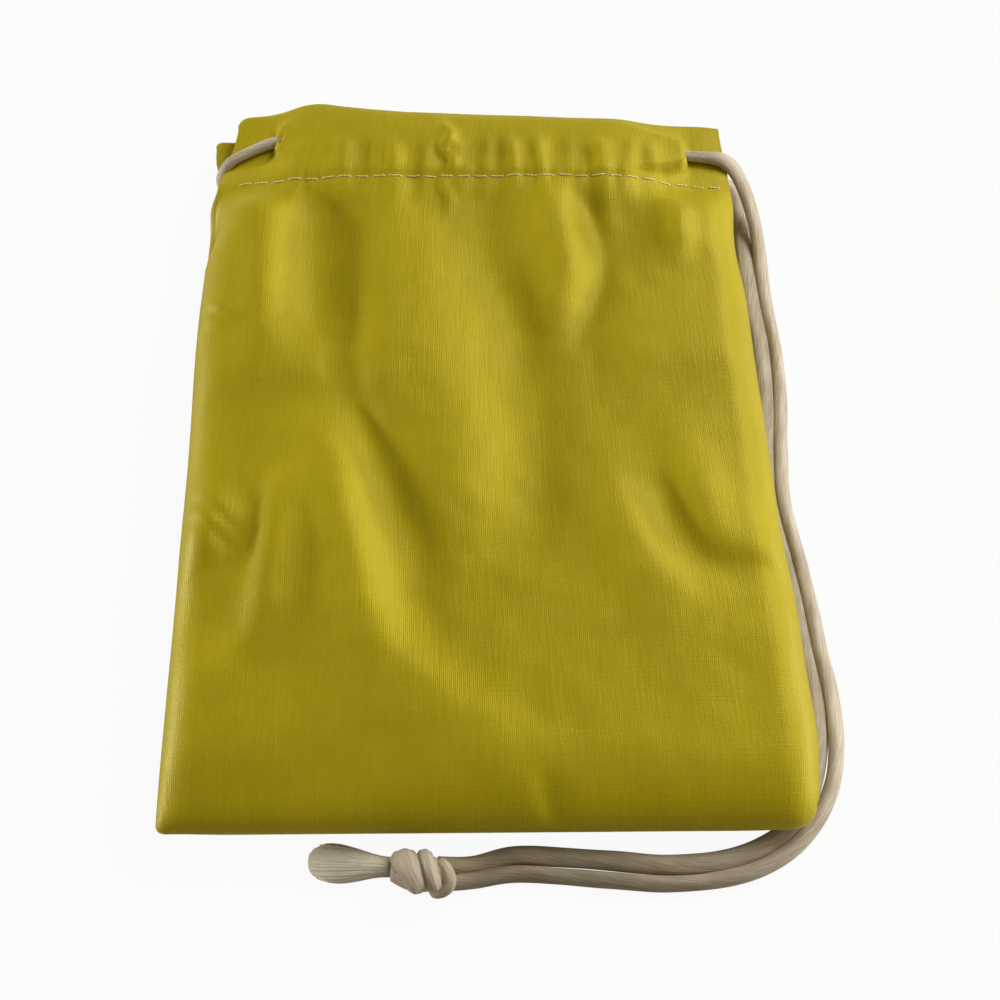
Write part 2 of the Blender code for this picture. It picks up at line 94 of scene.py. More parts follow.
FRONT_RIGHT_CREST_RUN = (0.0280, 0.0400)
BACK_LEFT_SAG = 0.0005
BACK_LEFT_SAG_RUN = (0.040, 0.048)

# Heights of the body and the casings, and how far in its edges are rounded
SEAM_HEIGHT = 0.0050
FOOT_CROWN = 0.0106
BELLY_CROWN = 0.0121
BELLY_Y = -0.0300
FRONT_SIDE_ROUND = 0.0062
FRONT_FOLD_ROUND = 0.0125
BACK_SIDE_ROUND = 0.0115
BACK_FOLD_ROUND = 0.0065
BACK_LIFT_POWER = 1.6
MOUTH_OPEN = 0.0046
FRONT_END_HEIGHT = 0.0087
BACK_END_HEIGHT = 0.00455
END_DROP = 16.0  # how sharply the front's flat ends bend down past END_DROP_START
END_DROP_START = 0.0390
STITCH_GROOVE = 0.0005
TUNNEL_POWER = 0.7  # below 1 the tunnel is fuller than a sine wave
TUNNEL_RUN = 0.35  # share of the casing over which the tunnel comes up from the stitches

# Buttonhole slits across the casing, one at each end of the tunnel that holds the drawstring
LEFT_SLIT_X = -0.0384
RIGHT_SLIT_X = 0.0373
SLIT_HALF = 0.0017  # half the slit's own length, up the pouch
SLIT_DROP = 0.0009  # the drawstring and its tunnel lie this much lower at the slits
SLIT_NARROWING = 0.0006  # and the tunnel is this much narrower there
SLIT_DROP_RUN = 0.0140
SLIT_EDGE_RUN = 0.0003
SLIT_FADE = (0.0001, 0.0042)  # past the slit's ends its drop turns into the softer one over these
INNER_DROP = (0.0003, 0.0060)  # the inner layer drops this far inside the slits
LEFT_DROP_X = -0.0380  # away from the slits the casing drops to its flat ends around these
RIGHT_DROP_X = 0.0320
LEFT_DROP_RUN = 0.0085
RIGHT_DROP_RUN = 0.0150
LEFT_END_RISE = 0.0019  # the left end lies higher at the stitches
LEFT_END_RISE_RUN = 0.4

# Grid of the cloth
EDGE_STEPS = 10
MIDDLE_COLUMNS = 116
BODY_ROWS = 138
CASING_ROWS = 20
MOUTH_STEPS = 5
INNER_ROWS = 6
SLIT_SEEK_ROW = 4  # outer row of the casing on which the slits' columns are looked for
WELD = 0.000004
TUBE_WELD = 0.0000005

LAYER_GAP = (CLOTH + CLEAR) / 2
CORD_GAP = (CORD + CLOTH) / 2 + CLEAR
BACK_CORD_HEIGHT = CLOTH + CLEAR + CORD / 2
FRONT_CORD_HEIGHT = BACK_CORD_HEIGHT + 2 * CORD_GAP + CLOTH + MOUTH_OPEN
VENT_Y = STITCH_Y - VENT
WRAP_Y = STITCH_Y + CORD_RISE - MOUTH_SLANT * LEFT_SLIT_X - WRAP_DROP
FRONT = 1
BACK = -1

# Folds of the front, in millimetres: name, half width on the left and lower side, half width on the right and
# upper side, and route of (x, y, height)
FRONT_FOLDS = (
    ("swell by the left edge", 5.0, 5.4, ((-40, 53, 0.6), (-39.9, 45, 1.5), (-39.6, 34, 1.8),
        (-39, 24, 1.7), (-38.4, 16, 0.9), (-37.5, 9, 0))),
    ("valley under the left slit", 5.6, 6.5, ((-30.6, 50, -0.3), (-30, 44, -1.0), (-29.4, 34, -1.2),
        (-28.4, 25, -1.3), (-27, 17, -1.0), (-25, 10, -0.4), (-24, 6, 0))),
    ("upper end of the long fold", 6.0, 8.5, ((-18, 58, 0.2), (-18, 48, 0.6), (-18.6, 38, 1.0),
        (-19, 28, 1.4), (-18.4, 21, 1.6), (-18, 14, 1.6), (-17.4, 8, 1.1), (-16.6, 2, 0.4), (-16, -3, 0))),
    ("long fold", 2.7, 9.0, ((-19.0, 20, 0), (-18.4, 14, 0.4), (-17.6, 8, 0.7), (-16.2, 2, 0.7),
        (-13.4, -6, 0.6), (-10.4, -13, 0.5), (-7.6, -19, 0.4), (-5.0, -25, 0.3), (-2, -30, 0))),
    ("trough beside the long fold", 6.2, 2.9, ((-23.6, 11, 0), (-22.8, 7, -0.4), (-21.2, 1, -0.7),
        (-18.4, -6, -0.7), (-15.6, -13, -0.7), (-12.9, -20, -0.6), (-11.4, -26, -0.5), (-9.5, -34, -0.4),
        (-6, -41, 0))),
    ("ridge beside the trough", 8.0, 5.0, ((-27, 5, 0.3), (-26, -4, 1.4), (-24.4, -12, 2.0),
        (-22.6, -20, 2.2), (-20.8, -28, 2.2), (-18.6, -36, 1.7), (-14.6, -43, 1.2), (-8, -49, 0.9),
        (0, -54, 0.6), (9, -59, 0.3), (15, -62, 0))),
    ("middle swell", 8.0, 9.0, ((-10, 46, 0), (-9.5, 38, 0.6), (-8.5, 30, 0.9), (-7.5, 22, 1.1),
        (-7, 12, 1.1), (-6, 2, 1.1), (-4.5, -8, 1.1), (-3, -17, 0.8), (-2, -25, 0))),
    ("valley right of the middle", 8.0, 4.6, ((-2.6, 45, -0.3), (-1.4, 37, -0.9), (1.8, 28.5, -1.1),
        (5.0, 21, -1.2), (7.0, 13, -1.1), (8.2, 4, -1.0), (8.8, -6, -0.9), (8.0, -15, -0.8),
        (6.0, -23, -0.5), (4, -29, 0))),
    ("ridge in the vee", 5.6, 4.0, ((12.4, 55, 0.4), (12.8, 46, 1.0), (13.6, 38, 1.3), (14.2, 30, 1.3),
        (13.6, 22, 0.8), (12, 16, 0.2))),
    ("valley in the vee", 3.4, 2.1, ((17.4, 55, -0.2), (18.0, 49, -1.1), (19.2, 43, -1.2), (20.4, 37, -0.9),
        (20.8, 31, -0.7), (19.8, 25, -0.6), (17, 18.5, -0.5), (14.5, 12, 0))),
    ("puff by the right slit", 3.2, 2.6, ((34.8, 47, 0.1), (34.8, 42, 1.2), (34.6, 38, 1.2),
        (34.2, 34, 0.5), (33.5, 30, 0))),
    ("hollow by the right slit", 3.4, 5.0, ((25.5, 50, 0), (24.6, 42, -0.5), (24.0, 35, -0.6),
        (24.0, 28, 0))),
    ("shelf on the right", 7.0, 11.0, ((19, 13, 0), (26, 12.5, 0.9), (34, 13, 1.2), (41, 14, 1.0),
        (46, 15, 0.3))),
    ("pocket on the right", 4.2, 5.6, ((32.6, 0, 0.1), (33.8, -8, 0.8), (35.2, -15, 1.0),
        (37.4, -20.2, 0.8), (41, -23.2, 0.6), (45.5, -24.2, 0.5), (50.5, -24.6, 0.4))),
    ("crescent below the pocket", 5.0, 2.3, ((27.6, -2, 0), (28.2, -8, -0.3), (29.2, -13, -0.6),
        (30.4, -18, -0.7), (32.2, -23, -0.6), (35.4, -26.4, -0.5), (40, -27.6, -0.5), (46, -28.0, -0.5),
        (50.8, -28.2, -0.4))),
    ("ridge below the crescent", 7.0, 4.5, ((19, -7, 0), (20.5, -13, 0.5), (22.5, -19, 1.0),
        (25.5, -25.5, 1.0), (29.5, -31, 0.7), (34, -34, 0.3), (38, -36, 0))),
    ("small ridge on the left", 2.8, 4.0, ((-33.8, -9, 0), (-33.8, -14, 1.2), (-34.0, -20, 1.6),
        (-34.4, -26, 1.7), (-35.2, -32, 1.4), (-36.2, -38, 0.6), (-37, -43, 0))),
    ("bulge at the left edge", 10.0, 5.0, ((-50, -16.5, 1.0), (-46, -17.5, 1.8), (-43.2, -19, 1.7),
        (-40.4, -21, 0.7), (-38.4, -23, 0))),
    ("hollow below the bulge", 6.0, 8.0, ((-50, -35, -0.6), (-46, -35.5, -1.0), (-41, -37, -0.9),
        (-37, -39, 0))),
    ("step on the left", 5.0, 8.5, ((-46, 9.5, 0.4), (-38, 10, 1.1), (-30, 11, 1.2), (-24, 12.5, 0.5),
        (-20, 14, 0))),
    ("upper crease at the left edge", 1.2, 1.1, ((-50, -14.2, -0.3), (-47.9, -15.1, -0.6),
        (-44.5, -17, -0.6), (-41, -20.3, -0.3), (-38.5, -23, 0))),
    ("lower crease at the left edge", 1.1, 1.0, ((-50, -18.3, -0.2), (-46.5, -19.2, -0.4),
        (-42.8, -22, -0.4), (-40, -25, 0))),
    ("ripple at the left edge", 1.1, 1.1, ((-50.5, 25.5, 0.3), (-47.6, 24.1, 0.6), (-44.9, 22.2, 0.5),
        (-41.5, 19.5, 0))),
    ("ripple below it", 0.9, 0.9, ((-50.5, 21, 0.2), (-47, 20.3, 0.4), (-44.5, 18.5, 0))),
    ("crease over the bottom fold", 1.2, 2.6, ((7.4, -60, 0), (8.4, -63, -0.5), (9.6, -66.5, -0.9),
        (10.4, -70, -1.0))),
    ("low place near the left foot", 6.0, 8.0, ((-8, -58, 0), (-20, -61, -0.6), (-32, -63, -0.9),
        (-44, -64, -0.9), (-52, -64, -0.6))),
)

# Gathers that the drawstring leaves, in millimetres: x at the stitches, lean, height, half width on the left
# and on the right, and reach below the stitches
GATHERS = (
    (-34.6, -0.6, 0.50, 2.2, 1.6, 7.0), (-25.6, 0.8, 0.75, 1.5, 2.2, 9.0), (-20.4, -0.5, 0.45, 1.1, 1.5, 5.0),
    (-16.4, 0.6, 0.80, 1.3, 2.0, 8.5), (-10.8, -0.4, 0.45, 1.2, 1.6, 6.0), (-4.6, 0.7, 0.60, 1.3, 1.8, 8.0),
    (0.2, -0.3, 0.35, 1.0, 1.2, 4.5), (5.2, 0.5, 0.75, 1.3, 2.0, 8.0), (10.4, 0.3, 0.50, 1.1, 1.5, 5.0),
    (15.0, -0.5, 0.35, 1.0, 1.5, 5.0), (21.4, 0.9, 0.60, 1.3, 1.9, 9.0), (26.0, -0.8, 0.30, 1.2, 1.6, 5.0),
    (31.0, 0.6, 0.40, 1.4, 1.8, 8.0),
)
ZIGZAG = ("zigzag crease", 0.9, 1.1, (
    (-8.4, 66, 0.1), (-7.9, 62.6, 0.6), (-6.2, 59.8, 0.7), (-7.6, 56.6, 0.6), (-5.8, 53.6, 0.5),
    (-7.6, 49.5, 0.5), (-6.2, 45.5, 0.5), (-6.8, 41, 0)))

# Shallow rumples of the back, told in the same way
BACK_FOLDS = (
    ("rumple across the back", 3.4, 4.2, ((-34, 12, 0), (-18, 4, 0.9), (2, 2, 1.2), (16, -6, 0.6),
        (27, -9, 0))),
    ("rumple up the back", 3.0, 2.6, ((14, 30, 0), (10, 16, 0.7), (11, -2, 0.9), (6, -22, 0.5),
        (4, -34, 0))),
    ("rumple from the left edge", 2.4, 2.8, ((-50, -22, 0.4), (-40, -26, 0.8), (-28, -34, 0.5),
        (-20, -37, 0))),
    ("rumple from the right edge", 2.8, 2.2, ((47, -18, 0.3), (38, -22, 0.8), (26, -31, 0.4),
        (20, -36, 0))),
    ("rumple under the casing", 2.6, 2.6, ((-22, 44, 0), (-23, 34, 0.8), (-20, 22, 0.5), (-19, 14, 0))),
    ("second rumple under the casing", 2.4, 2.4, ((26, 44, 0), (25, 34, 0.7), (28, 22, 0))),
)

# How the relief is put together; an uneven part is told as its height, waves in a metre and seed
FOLD_SCALE = 1.12
GATHER_SCALE = 0.66
GATHER_REACH = 1.5  # gathers end at this many times their reach
GATHER_FADE_BELOW = (0.2, 1.5)
GATHER_FADE_ABOVE = (0.40, 0.66)
GATHER_SPREAD = 0.5
FRONT_UNEVEN = ((0.00022, 110.0, 1.7), (0.00010, 260.0, 5.1))
BACK_UNEVEN = (0.00012, 130.0, 3.9)
BACK_UNEVEN_LIFT = 0.9
PUCKER = (0.00028, 620.0, 9.3)
PUCKER_SPREAD = 0.0030
PUCKER_STRETCH = 0.25
CASING_FOLD_SCALE = 0.6
CASING_FOLD_DEPTH = 0.0002
CASING_FINE_SCALE = 1.5
CASING_DEPTH_LIMIT = 0.0003
MOUTH_CALM = 0.65  # the relief loses this share towards the mouth
MOUTH_CALM_START = 0.55
FLAT_END_SHARE = 0.25
STITCHED_SHARE = 0.6
STITCHED_RUN = 0.25
INNER_RELIEF_START = 0.6

# Route of each free end of the drawstring from its slit to the knot, in millimetres. A place without a height
# lies on the table, with its middle as high as TABLE
TABLE = 0.00122
FRONT_ROUTE = (
    (41.2, 57.1, 10.2), (44.2, 56.7, 9.8), (46.6, 55.2, 8.4), (48.6, 51.6, 6.2), (50.1, 46.8, 3.9),
    (50.8, 41.7, 2.1), (51.0, 36.0, 1.52), (51.3, 30.0), (52.1, 20.5), (52.0, 9.8), (51.1, -0.4),
    (50.8, -10.2), (52.1, -19.7), (53.3, -28.9), (54.2, -37.8), (55.1, -45.5), (55.2, -52.5), (54.3, -58.5),
    (52.6, -62.9), (50.1, -66.9), (46.5, -70.5), (41.1, -73.5), (34.5, -75.1), (27.0, -75.6), (19.0, -75.0),
    (11.0, -74.3), (4.0, -73.9), (-2.0, -74.8),
)
BACK_ROUTE = (
    (41.2, 57.3, 1.8), (44.8, 57.8, 1.52), (47.4, 56.2), (48.1, 51.3), (48.2, 45.0), (48.4, 39.0),
    (48.6, 34.0), (48.9, 28.0), (49.5, 20.5), (49.5, 9.8), (48.6, -0.4), (48.3, -10.4), (49.6, -20.3),
    (50.8, -29.6), (51.6, -38.4), (52.5, -45.8), (52.5, -52.0), (51.6, -57.4), (50.2, -61.5), (48.1, -65.2),
    (45.0, -68.3), (40.2, -70.9), (34.2, -72.3), (26.9, -72.7), (19.1, -72.0), (11.2, -71.4), (4.2, -71.1),
    (-2.0, -72.5),
)
# Half width and half height of the soft cord along each of its runs, in millimetres: (place, wide, tall)
FRONT_SHAPE = (
    (0, 1.20, 1.20), (5, 0.98, 1.00), (9, 1.22, 1.00), (14, 1.74, 1.00), (19, 1.72, 0.98), (25, 1.56, 0.98),
    (32, 1.40, 1.00), (40, 1.32, 1.05), (50, 1.20, 1.05), (58, 1.26, 1.06), (66, 1.42, 1.05),
    (92, 1.42, 1.06), (112, 1.50, 1.04), (124, 1.62, 1.00), (136, 1.42, 1.04), (150, 1.36, 1.05),
    (195, 1.34, 1.06), (205, 1.15, 1.05),
)
BACK_SHAPE = (
    (0, 1.20, 1.20), (5, 1.00, 1.00), (12, 1.55, 1.05), (20, 1.86, 1.02), (28, 1.80, 1.02), (40, 1.62, 1.02),
    (60, 1.58, 1.02), (88, 1.58, 1.04), (98, 1.74, 1.02), (112, 1.74, 1.02), (124, 1.50, 1.05),
    (150, 1.62, 1.02), (180, 1.60, 1.02), (195, 1.40, 1.05),
)
HELD_SHAPE = ((0, 1.15, 1.15), (70, 1.15, 1.15), (76, 1.06, 0.92), (90, 1.04, 0.88), (98, 1.10, 1.05),
              (200, 1.15, 1.15))
CORD_SIDES = 22
CORD_RING_GAP = 0.0005
ROUTE_STEPS = 8
BUNDLES = 6
BUNDLE_TWIST = 300.0  # in radians a metre, like the next two
GROOVE_TWIST = 170.0
CORD_WAVES = 610.0

# Where the held run ends and each free end starts inside the right slits, the held run's places across the
# pouch, and its way round the left edge, in millimetres with y from the pinch in the back's edge
HELD_END = 0.0048
FREE_STARTS = (0.0047, 0.0010)
HELD_ACROSS = (0.0250, 0.0120, 0.0, -0.0120, -0.0250, -0.0330)
WRAP_ROUTE = (
    (-41.2, 3.98, 10.2), (-44.0, 2.68, 9.85), (-46.3, 1.58, 9.4), (-47.7, 0.68, 8.8), (-48.7, 0.18, 7.2),
    (-49.3, 0, 5.4), (-49.3, 0, 3.8), (-48.4, 0.2, 2.1), (-46.3, 1.0, 1.2), (-42.4, 2.9, 1.3),
)

# Knot: its middle and radii, the ends of its core from the middle, its turns as (place along it, lean,
# half thickness, half width, start, sweep), and its loose end as (x and y from the middle, height)
KNOT = Vector((-0.0103, -0.0742, 0.00308))
KNOT_RADII = (0.0041, 0.0037, 0.0029)
KNOT_ENTRY = (0.0012, 0.00144)  # how far the free ends reach into it, and how far to its two sides
KNOT_SIDES = 18
KNOT_CORE = ((-0.0042, 0.0006, -0.0005), (0.0044, -0.0001, -0.0005))
KNOT_CORE_RADII = (0.0012, 0.0011)
KNOT_TURNS = ((-0.0014, -0.0014, 0.00115, 0.00195, -2.2, 5.4),
              (0.0013, -0.0008, 0.00100, 0.00120, -2.0, 5.2))
KNOT_PITCH = 0.0005
TURN_STEPS = 40
TURN_TUCK = 0.34  # share by which both ends of a turn are tucked in
KNOT_CURL = ((0.0016, -0.0018, 0.0016), (0.0030, -0.0024, 0.0018), (0.0042, -0.0020, 0.0026),
             (0.0046, -0.0009, 0.0034), (0.0040, 0.0006, 0.0036), (0.0028, 0.0019, 0.0030))
CURL_HALF = (0.0010, 0.0011)

# Frayed ends
FIBRES = 240
FIBRE_STEPS = 9
FIBRE_SIDES = 6
FIBRE_RADIUS = 0.00036
FIBRE_TAPER = 0.45
TAIL_LENGTH = 0.0134
TAIL_INSIDE = 0.0006  # the fibres start this far inside the knot
TAIL_WIDE = (0.00122, 0.00305)  # half width of the brush at the knot and at the tip
TAIL_TALL = (0.00115, 0.00090)
TAIL_SIDEWAYS = (0.0012, 0.0011)  # offset from the knot's middle, and what the tip adds
TAIL_HEIGHT = (0.00140, 0.0009)  # height at the tip, and what the knot adds
GOLDEN_TURN = 2.399963
TAIL_SPREAD = 0.38  # below 0.5 more of the fibres lie on the brush's outside

# Stitches
STITCH_PITCH = 0.0030
STITCH_MARGINS = (0.0012, 0.0008)  # from the left and the right end of the casing
STITCH_SPAN = (0.05, 0.86)  # start and length of a stitch as shares of the pitch
STITCH_STEPS = 8
STITCH_WANDER = (0.00012, 0.00008)
STITCH_TILT = 0.00014
STITCH_RISE = (0.10, -0.40)  # height on the cloth in the middle and at the ends, in thread widths
STITCH_GIRTH = (0.66, 0.10)  # at its ends, and what its middle adds, in half thread widths
THREAD_SIDES = 8
THREAD_TWIST = 9000.0
SEAM_RING_GAP = 0.0010
RAY_HEIGHT = 0.05

# Colours
CLOTH_DARK = (0.390, 0.313, 0.0062, 1)
CLOTH_PALE = (0.510, 0.424, 0.0110, 1)
CLOTH_GLOSS = (1.0, 0.84, 0.14, 1)
CLOTH_SHEEN = (1.0, 0.88, 0.20, 1)
CORD_DARK = (0.400, 0.325, 0.225)
CORD_PALE = (0.690, 0.610, 0.480)
CORD_SHEEN = (1.0, 0.95, 0.88, 1)
FIBRE_DARK = (0.620, 0.555, 0.415)
FIBRE_PALE = (0.920, 0.870, 0.710)
# Painted shade: share of the cord's colours kept where shadow falls on the free cord near the knot and on the
# loose fibres at the knot
PAINTED_SHADE_SHARE = (0.54, 0.52, 0.45)
SHADED_LOWER_RUN = (0.118, 0.200)  # painted shade: the free cord darkens between these lengths, towards the knot, where the pouch's shadow falls
SHADED_FRAY_NECK = (0.0042, 0.0)  # painted shade: the loose fibres darken from the first length back to the knot
THREAD_DARK = (0.62, 0.54, 0.23, 1)
THREAD_PALE = (0.84, 0.76, 0.42, 1)
WARP_PITCH = 0.00030
WEFT_PITCH = 0.00034
TABLE_GREY = (0.66, 0.66, 0.66, 1)
WHITE = (1, 1, 1, 1)
TABLE_WHITE_SHARE = 0.94

# Sockets of a mix node that belong to its colours
MIX_SHARE = 0
MIX_FIRST = 6
MIX_SECOND = 7
MIX_RESULT = 2

# Camera and light
CAMERA_PLACE = (0.001403, -0.137609, 0.242084)
CAMERA_ELEVATION = 62.02
CAMERA_AZIMUTH = 0.46
FOCAL_PIXELS = 1600
PICTURE_PIXELS = 1000
SENSOR = 36.0
CAMERA_CLIPS = (0.01, 10.0)
TABLE_HALF = 1.5
ROOM_LIGHT = (1.0, 0.86, 0.70, 1)
ROOM_STRENGTH = 0.235
# Name, place, target, width, height, power and colour of each lamp
LAMPS = (
    ("window behind", (0.91, 0.76, 1.07), (0.0, 0.0, 0.0), 1.00, 0.80, 20.6, (1.0, 1.0, 0.97)),
    ("low light on the left", (-1.30, 0.10, 0.075), (0.0, 0.0, 0.01), 0.70, 0.08, 13.0, (1.0, 0.99, 0.95)),
    ("low light on the right", (1.30, 0.10, 0.075), (0.0, 0.0, 0.01), 0.70, 0.08, 10.0, (1.0, 0.99, 0.95)),
)


class Value:
    """A value inside a finish that can be added, multiplied and shaped further."""

    def __init__(self, finish, socket):
        self.finish = finish
        self.socket = socket

    def maths(self, operation, *values):
        return self.finish.node("ShaderNodeMath", dict(enumerate(values)), operation=operation)

    def __add__(self, other):
        return self.maths("ADD", self, other)

    def __mul__(self, other):
        return self.maths("MULTIPLY", self, other)

    def sine(self):
        return self.maths("SINE", self)

    def cosine(self):
        return self.maths("COSINE", self)

    def between(self, low, high):
        """0 below low, 1 above high."""
        inputs = {"Value": self, "From Min": low, "From Max": high}
        return self.finish.node("ShaderNodeMapRange", inputs, interpolation_type="SMOOTHSTEP")


class Finish:
    """One material with the nodes that make it."""

    def __init__(self, name):
        self.material = bpy.data.materials.new(name)
        self.material.use_nodes = True
        self.tree = self.material.node_tree
        self.shader = self.tree.nodes["Principled BSDF"]

    def node(self, kind, inputs, output=0, **settings):
        made = self.tree.nodes.new(kind)
        for key, setting in settings.items():
            setattr(made, key, setting)
        for key, value in inputs.items():
            self.feed(made.inputs[key], value)
        return Value(self, made.outputs[output])

    def feed(self, socket, value):
        if isinstance(value, Value):
            self.tree.links.new(value.socket, socket)
        else:
            socket.default_value = value

    def uv(self):
        """U and V of the piece's own map, apart."""
        place = self.node("ShaderNodeUVMap", {}, uv_map="UVMap")
        return [self.node("ShaderNodeSeparateXYZ", {"Vector": place}, axis) for axis in ("X", "Y")]

    def noise(self, x, y, z=0.0, detail=2.0, roughness=0.5):
        place = self.node("ShaderNodeCombineXYZ", {"X": x, "Y": y, "Z": z})
        inputs = {"Vector": place, "Scale": 1.0, "Detail": detail, "Roughness": roughness}
        return self.node("ShaderNodeTexNoise", inputs, "Fac")

    def blend(self, share, first, second):
        """A colour between two colours."""
        inputs = {MIX_SHARE: share, MIX_FIRST: first, MIX_SECOND: second}
        return self.node("ShaderNodeMix", inputs, MIX_RESULT, data_type="RGBA")

    def bump(self, height, distance, strength):
        return self.node("ShaderNodeBump", {"Height": height, "Distance": distance, "Strength": strength})

    def set(self, **values):
        for name, value in values.items():
            self.feed(self.shader.inputs[name.replace("_", " ")], value)


def cloth_finish():
    """Satin-like weave: fine lengthwise threads with uneven lustre."""
    finish = Finish("mustard satin weave")
    u, v = finish.uv()
    warp = (u * (2 * math.pi / WARP_PITCH)).sine()
    weft = (v * (2 * math.pi / WEFT_PITCH)).sine()
    slub = finish.noise(u * 1900.0, v * 150.0)
    cross_slub = finish.noise(u * 170.0, v * 2300.0)
    grain = finish.noise(u * 3600.0, v * 2600.0, detail=1.0)
    cloud = finish.noise(u * 60.0, v * 45.0, detail=3.0)
    thread = warp * 0.12 + weft * 0.08 + slub * 1.1 + cross_slub * 0.5 + grain * 0.8
    shade = (thread * 0.34 + cloud * 0.8).between(0.55, 1.45)
    base = finish.blend(shade, CLOTH_DARK, CLOTH_PALE)
    finish.set(Base_Color=base, Roughness=cloud * 0.08 + slub * 0.10 + 0.38, Specular_IOR_Level=0.55,
               Specular_Tint=CLOTH_GLOSS, Sheen_Weight=0.60, Sheen_Roughness=0.30, Sheen_Tint=CLOTH_SHEEN,
               Normal=finish.bump(thread, 0.00008, 0.6))
    return finish.material


def cord_finish(name, dark, pale, painted_shade_run=None):
    """Soft cord of fine lengthwise fibres, with painted shade from one length along the piece to another
    where a run is given.
    """
    finish = Finish(name)
    u, v = finish.uv()
    turn = u * (2 * math.pi) + v * 110.0
    fibres = finish.noise(turn.cosine() * 8.0, turn.sine() * 8.0, v * 260.0, 3.0, 0.6)
    patches = finish.noise(turn.cosine() * 0.7, turn.sine() * 0.7, v * 140.0)
    shade = (fibres * 0.75 + patches * 0.65).between(0.46, 0.96)
    base = finish.blend(shade, (*dark, 1), (*pale, 1))
    # Painted shade: a darker copy of the colours over the given run of the piece
    if painted_shade_run:
        dark, pale = ([part * share for part, share in zip(tint, PAINTED_SHADE_SHARE)] for tint in (dark, pale))
        shaded_base = finish.blend(shade, (*dark, 1), (*pale, 1))
        base = finish.blend(v.between(*painted_shade_run), base, shaded_base)
    finish.set(Base_Color=base, Roughness=fibres * 0.2 + 0.42, Specular_IOR_Level=0.40,
               Sheen_Weight=0.15, Sheen_Roughness=0.40, Sheen_Tint=CORD_SHEEN,
               Normal=finish.bump(fibres, 0.00016, 0.8))
    return finish.material


def thread_finish():
    """Twisted sewing thread."""
    finish = Finish("pale sewing thread")
    u, v = finish.uv()
    twist = (u * (2 * math.pi) + v * THREAD_TWIST).sine()
    fuzz = finish.noise(u * 8.0, v * 2500.0)
    base = finish.blend((twist * 0.25 + fuzz).between(0.3, 0.9), THREAD_DARK, THREAD_PALE)
    finish.set(Base_Color=base, Roughness=fuzz * 0.2 + 0.5, Sheen_Weight=0.2,
               Normal=finish.bump(twist, 0.00003, 0.5))
    return finish.material


def floor_finish():
    """White table that keeps a soft shadow and looks white to the camera."""
    finish = Finish("white table")
    tree = finish.tree
    tree.nodes.remove(finish.shader)
    plain = finish.node("ShaderNodeBsdfDiffuse", {"Color": TABLE_GREY})
    white = finish.node("ShaderNodeEmission", {"Color": WHITE, "Strength": 1.0})
    seen = finish.node("ShaderNodeLightPath", {}, "Is Camera Ray")
    mixed = finish.node("ShaderNodeMixShader", {0: seen * TABLE_WHITE_SHARE, 1: plain, 2: white})
    output = next(node for node in tree.nodes if node.type == "OUTPUT_MATERIAL")
    tree.links.new(mixed.socket, output.inputs["Surface"])
    return finish.material


def smoothstep(start, end, value):
    share = np.clip((value - start) / (end - start), 0.0, 1.0)
    return share * share * (3.0 - 2.0 * share)


def mix(first, second, share):
    return first + (second - first) * share


def bell(distance, spread):
    return np.exp(-(distance / spread) ** 2)


def dome(distance, radius):
    inward = np.clip(distance / radius, 0.0, 1.0)
    return np.sqrt(1.0 - (1.0 - inward) ** 2)


def lift(distance, radius):
    return (1.0 - np.clip(distance / radius, 0.0, 1.0)) ** BACK_LIFT_POWER


def corner_drop(out, reach, corner):
    """How far a rounded corner that ends at reach has left the straight line."""
    past = np.clip(out - (reach - corner), 0.0, corner)
    return corner - np.sqrt(corner ** 2 - past ** 2)


def step_round(middle, run, value):
    return smoothstep(middle - run / 2, middle + run / 2, value)


def left_seam(y):
    return -LEFT_REACH - LEFT_BULGE * bell(y - LEFT_BULGE_Y, LEFT_BULGE_SPREAD)


def right_seam(y):
    line = smooth_points(RIGHT_SEAM, 6) * MM
    return np.interp(y, line[:, 0], line[:, 1])


def casing_line(x):
    return STITCH_Y + CORD_RISE - MOUTH_SLANT * x


def mouth_line(side, x):
    if side == FRONT:
        reach, corner, set_back = FRONT_LEFT_REACH, MOUTH_CORNER, 0.0
        crest = sum(height * bell(x - middle, spread) for height, middle, spread in MOUTH_HUMPS)
        crest = crest + FRONT_RIGHT_CREST * smoothstep(*FRONT_RIGHT_CREST_RUN, x)
    else:
        reach, corner, set_back = BACK_LEFT_REACH, BACK_MOUTH_CORNER, BACK_SET_BACK
        crest = -BACK_LEFT_SAG * smoothstep(*BACK_LEFT_SAG_RUN, -x)
    return STITCH_Y + CASING_DEPTH - set_back - MOUTH_SLANT * x - corner_drop(-x, reach, corner) + crest


def edges(side, y):
    parted = smoothstep(VENT_Y, STITCH_Y, y)
    up_casing = smoothstep(STITCH_Y, STITCH_Y + CASING_DEPTH, y)
    left_end = -FRONT_LEFT_REACH - LEFT_FLARE * (1.0 - up_casing)
    right_end = FRONT_RIGHT_REACH + RIGHT_CORNER_SLOPE * (0.5 - up_casing)
    if side == BACK:
        left_end = -BACK_LEFT_REACH + WRAP_PINCH * bell(y - WRAP_Y, WRAP_PINCH_SPREAD)
        left_end = left_end + STITCH_PINCH * bell(y - STITCH_Y, STITCH_PINCH_SPREAD)
        right_end = BACK_RIGHT_REACH
    return mix(left_seam(y), left_end, parted), mix(right_seam(y), right_end, parted)


def fold_line(x):
    left = x < 0
    reach = np.where(left, LEFT_REACH, RIGHT_REACH)
    corner = np.where(left, LEFT_CORNER, RIGHT_CORNER)
    return FOLD_Y + corner_drop(np.abs(x), reach, corner)


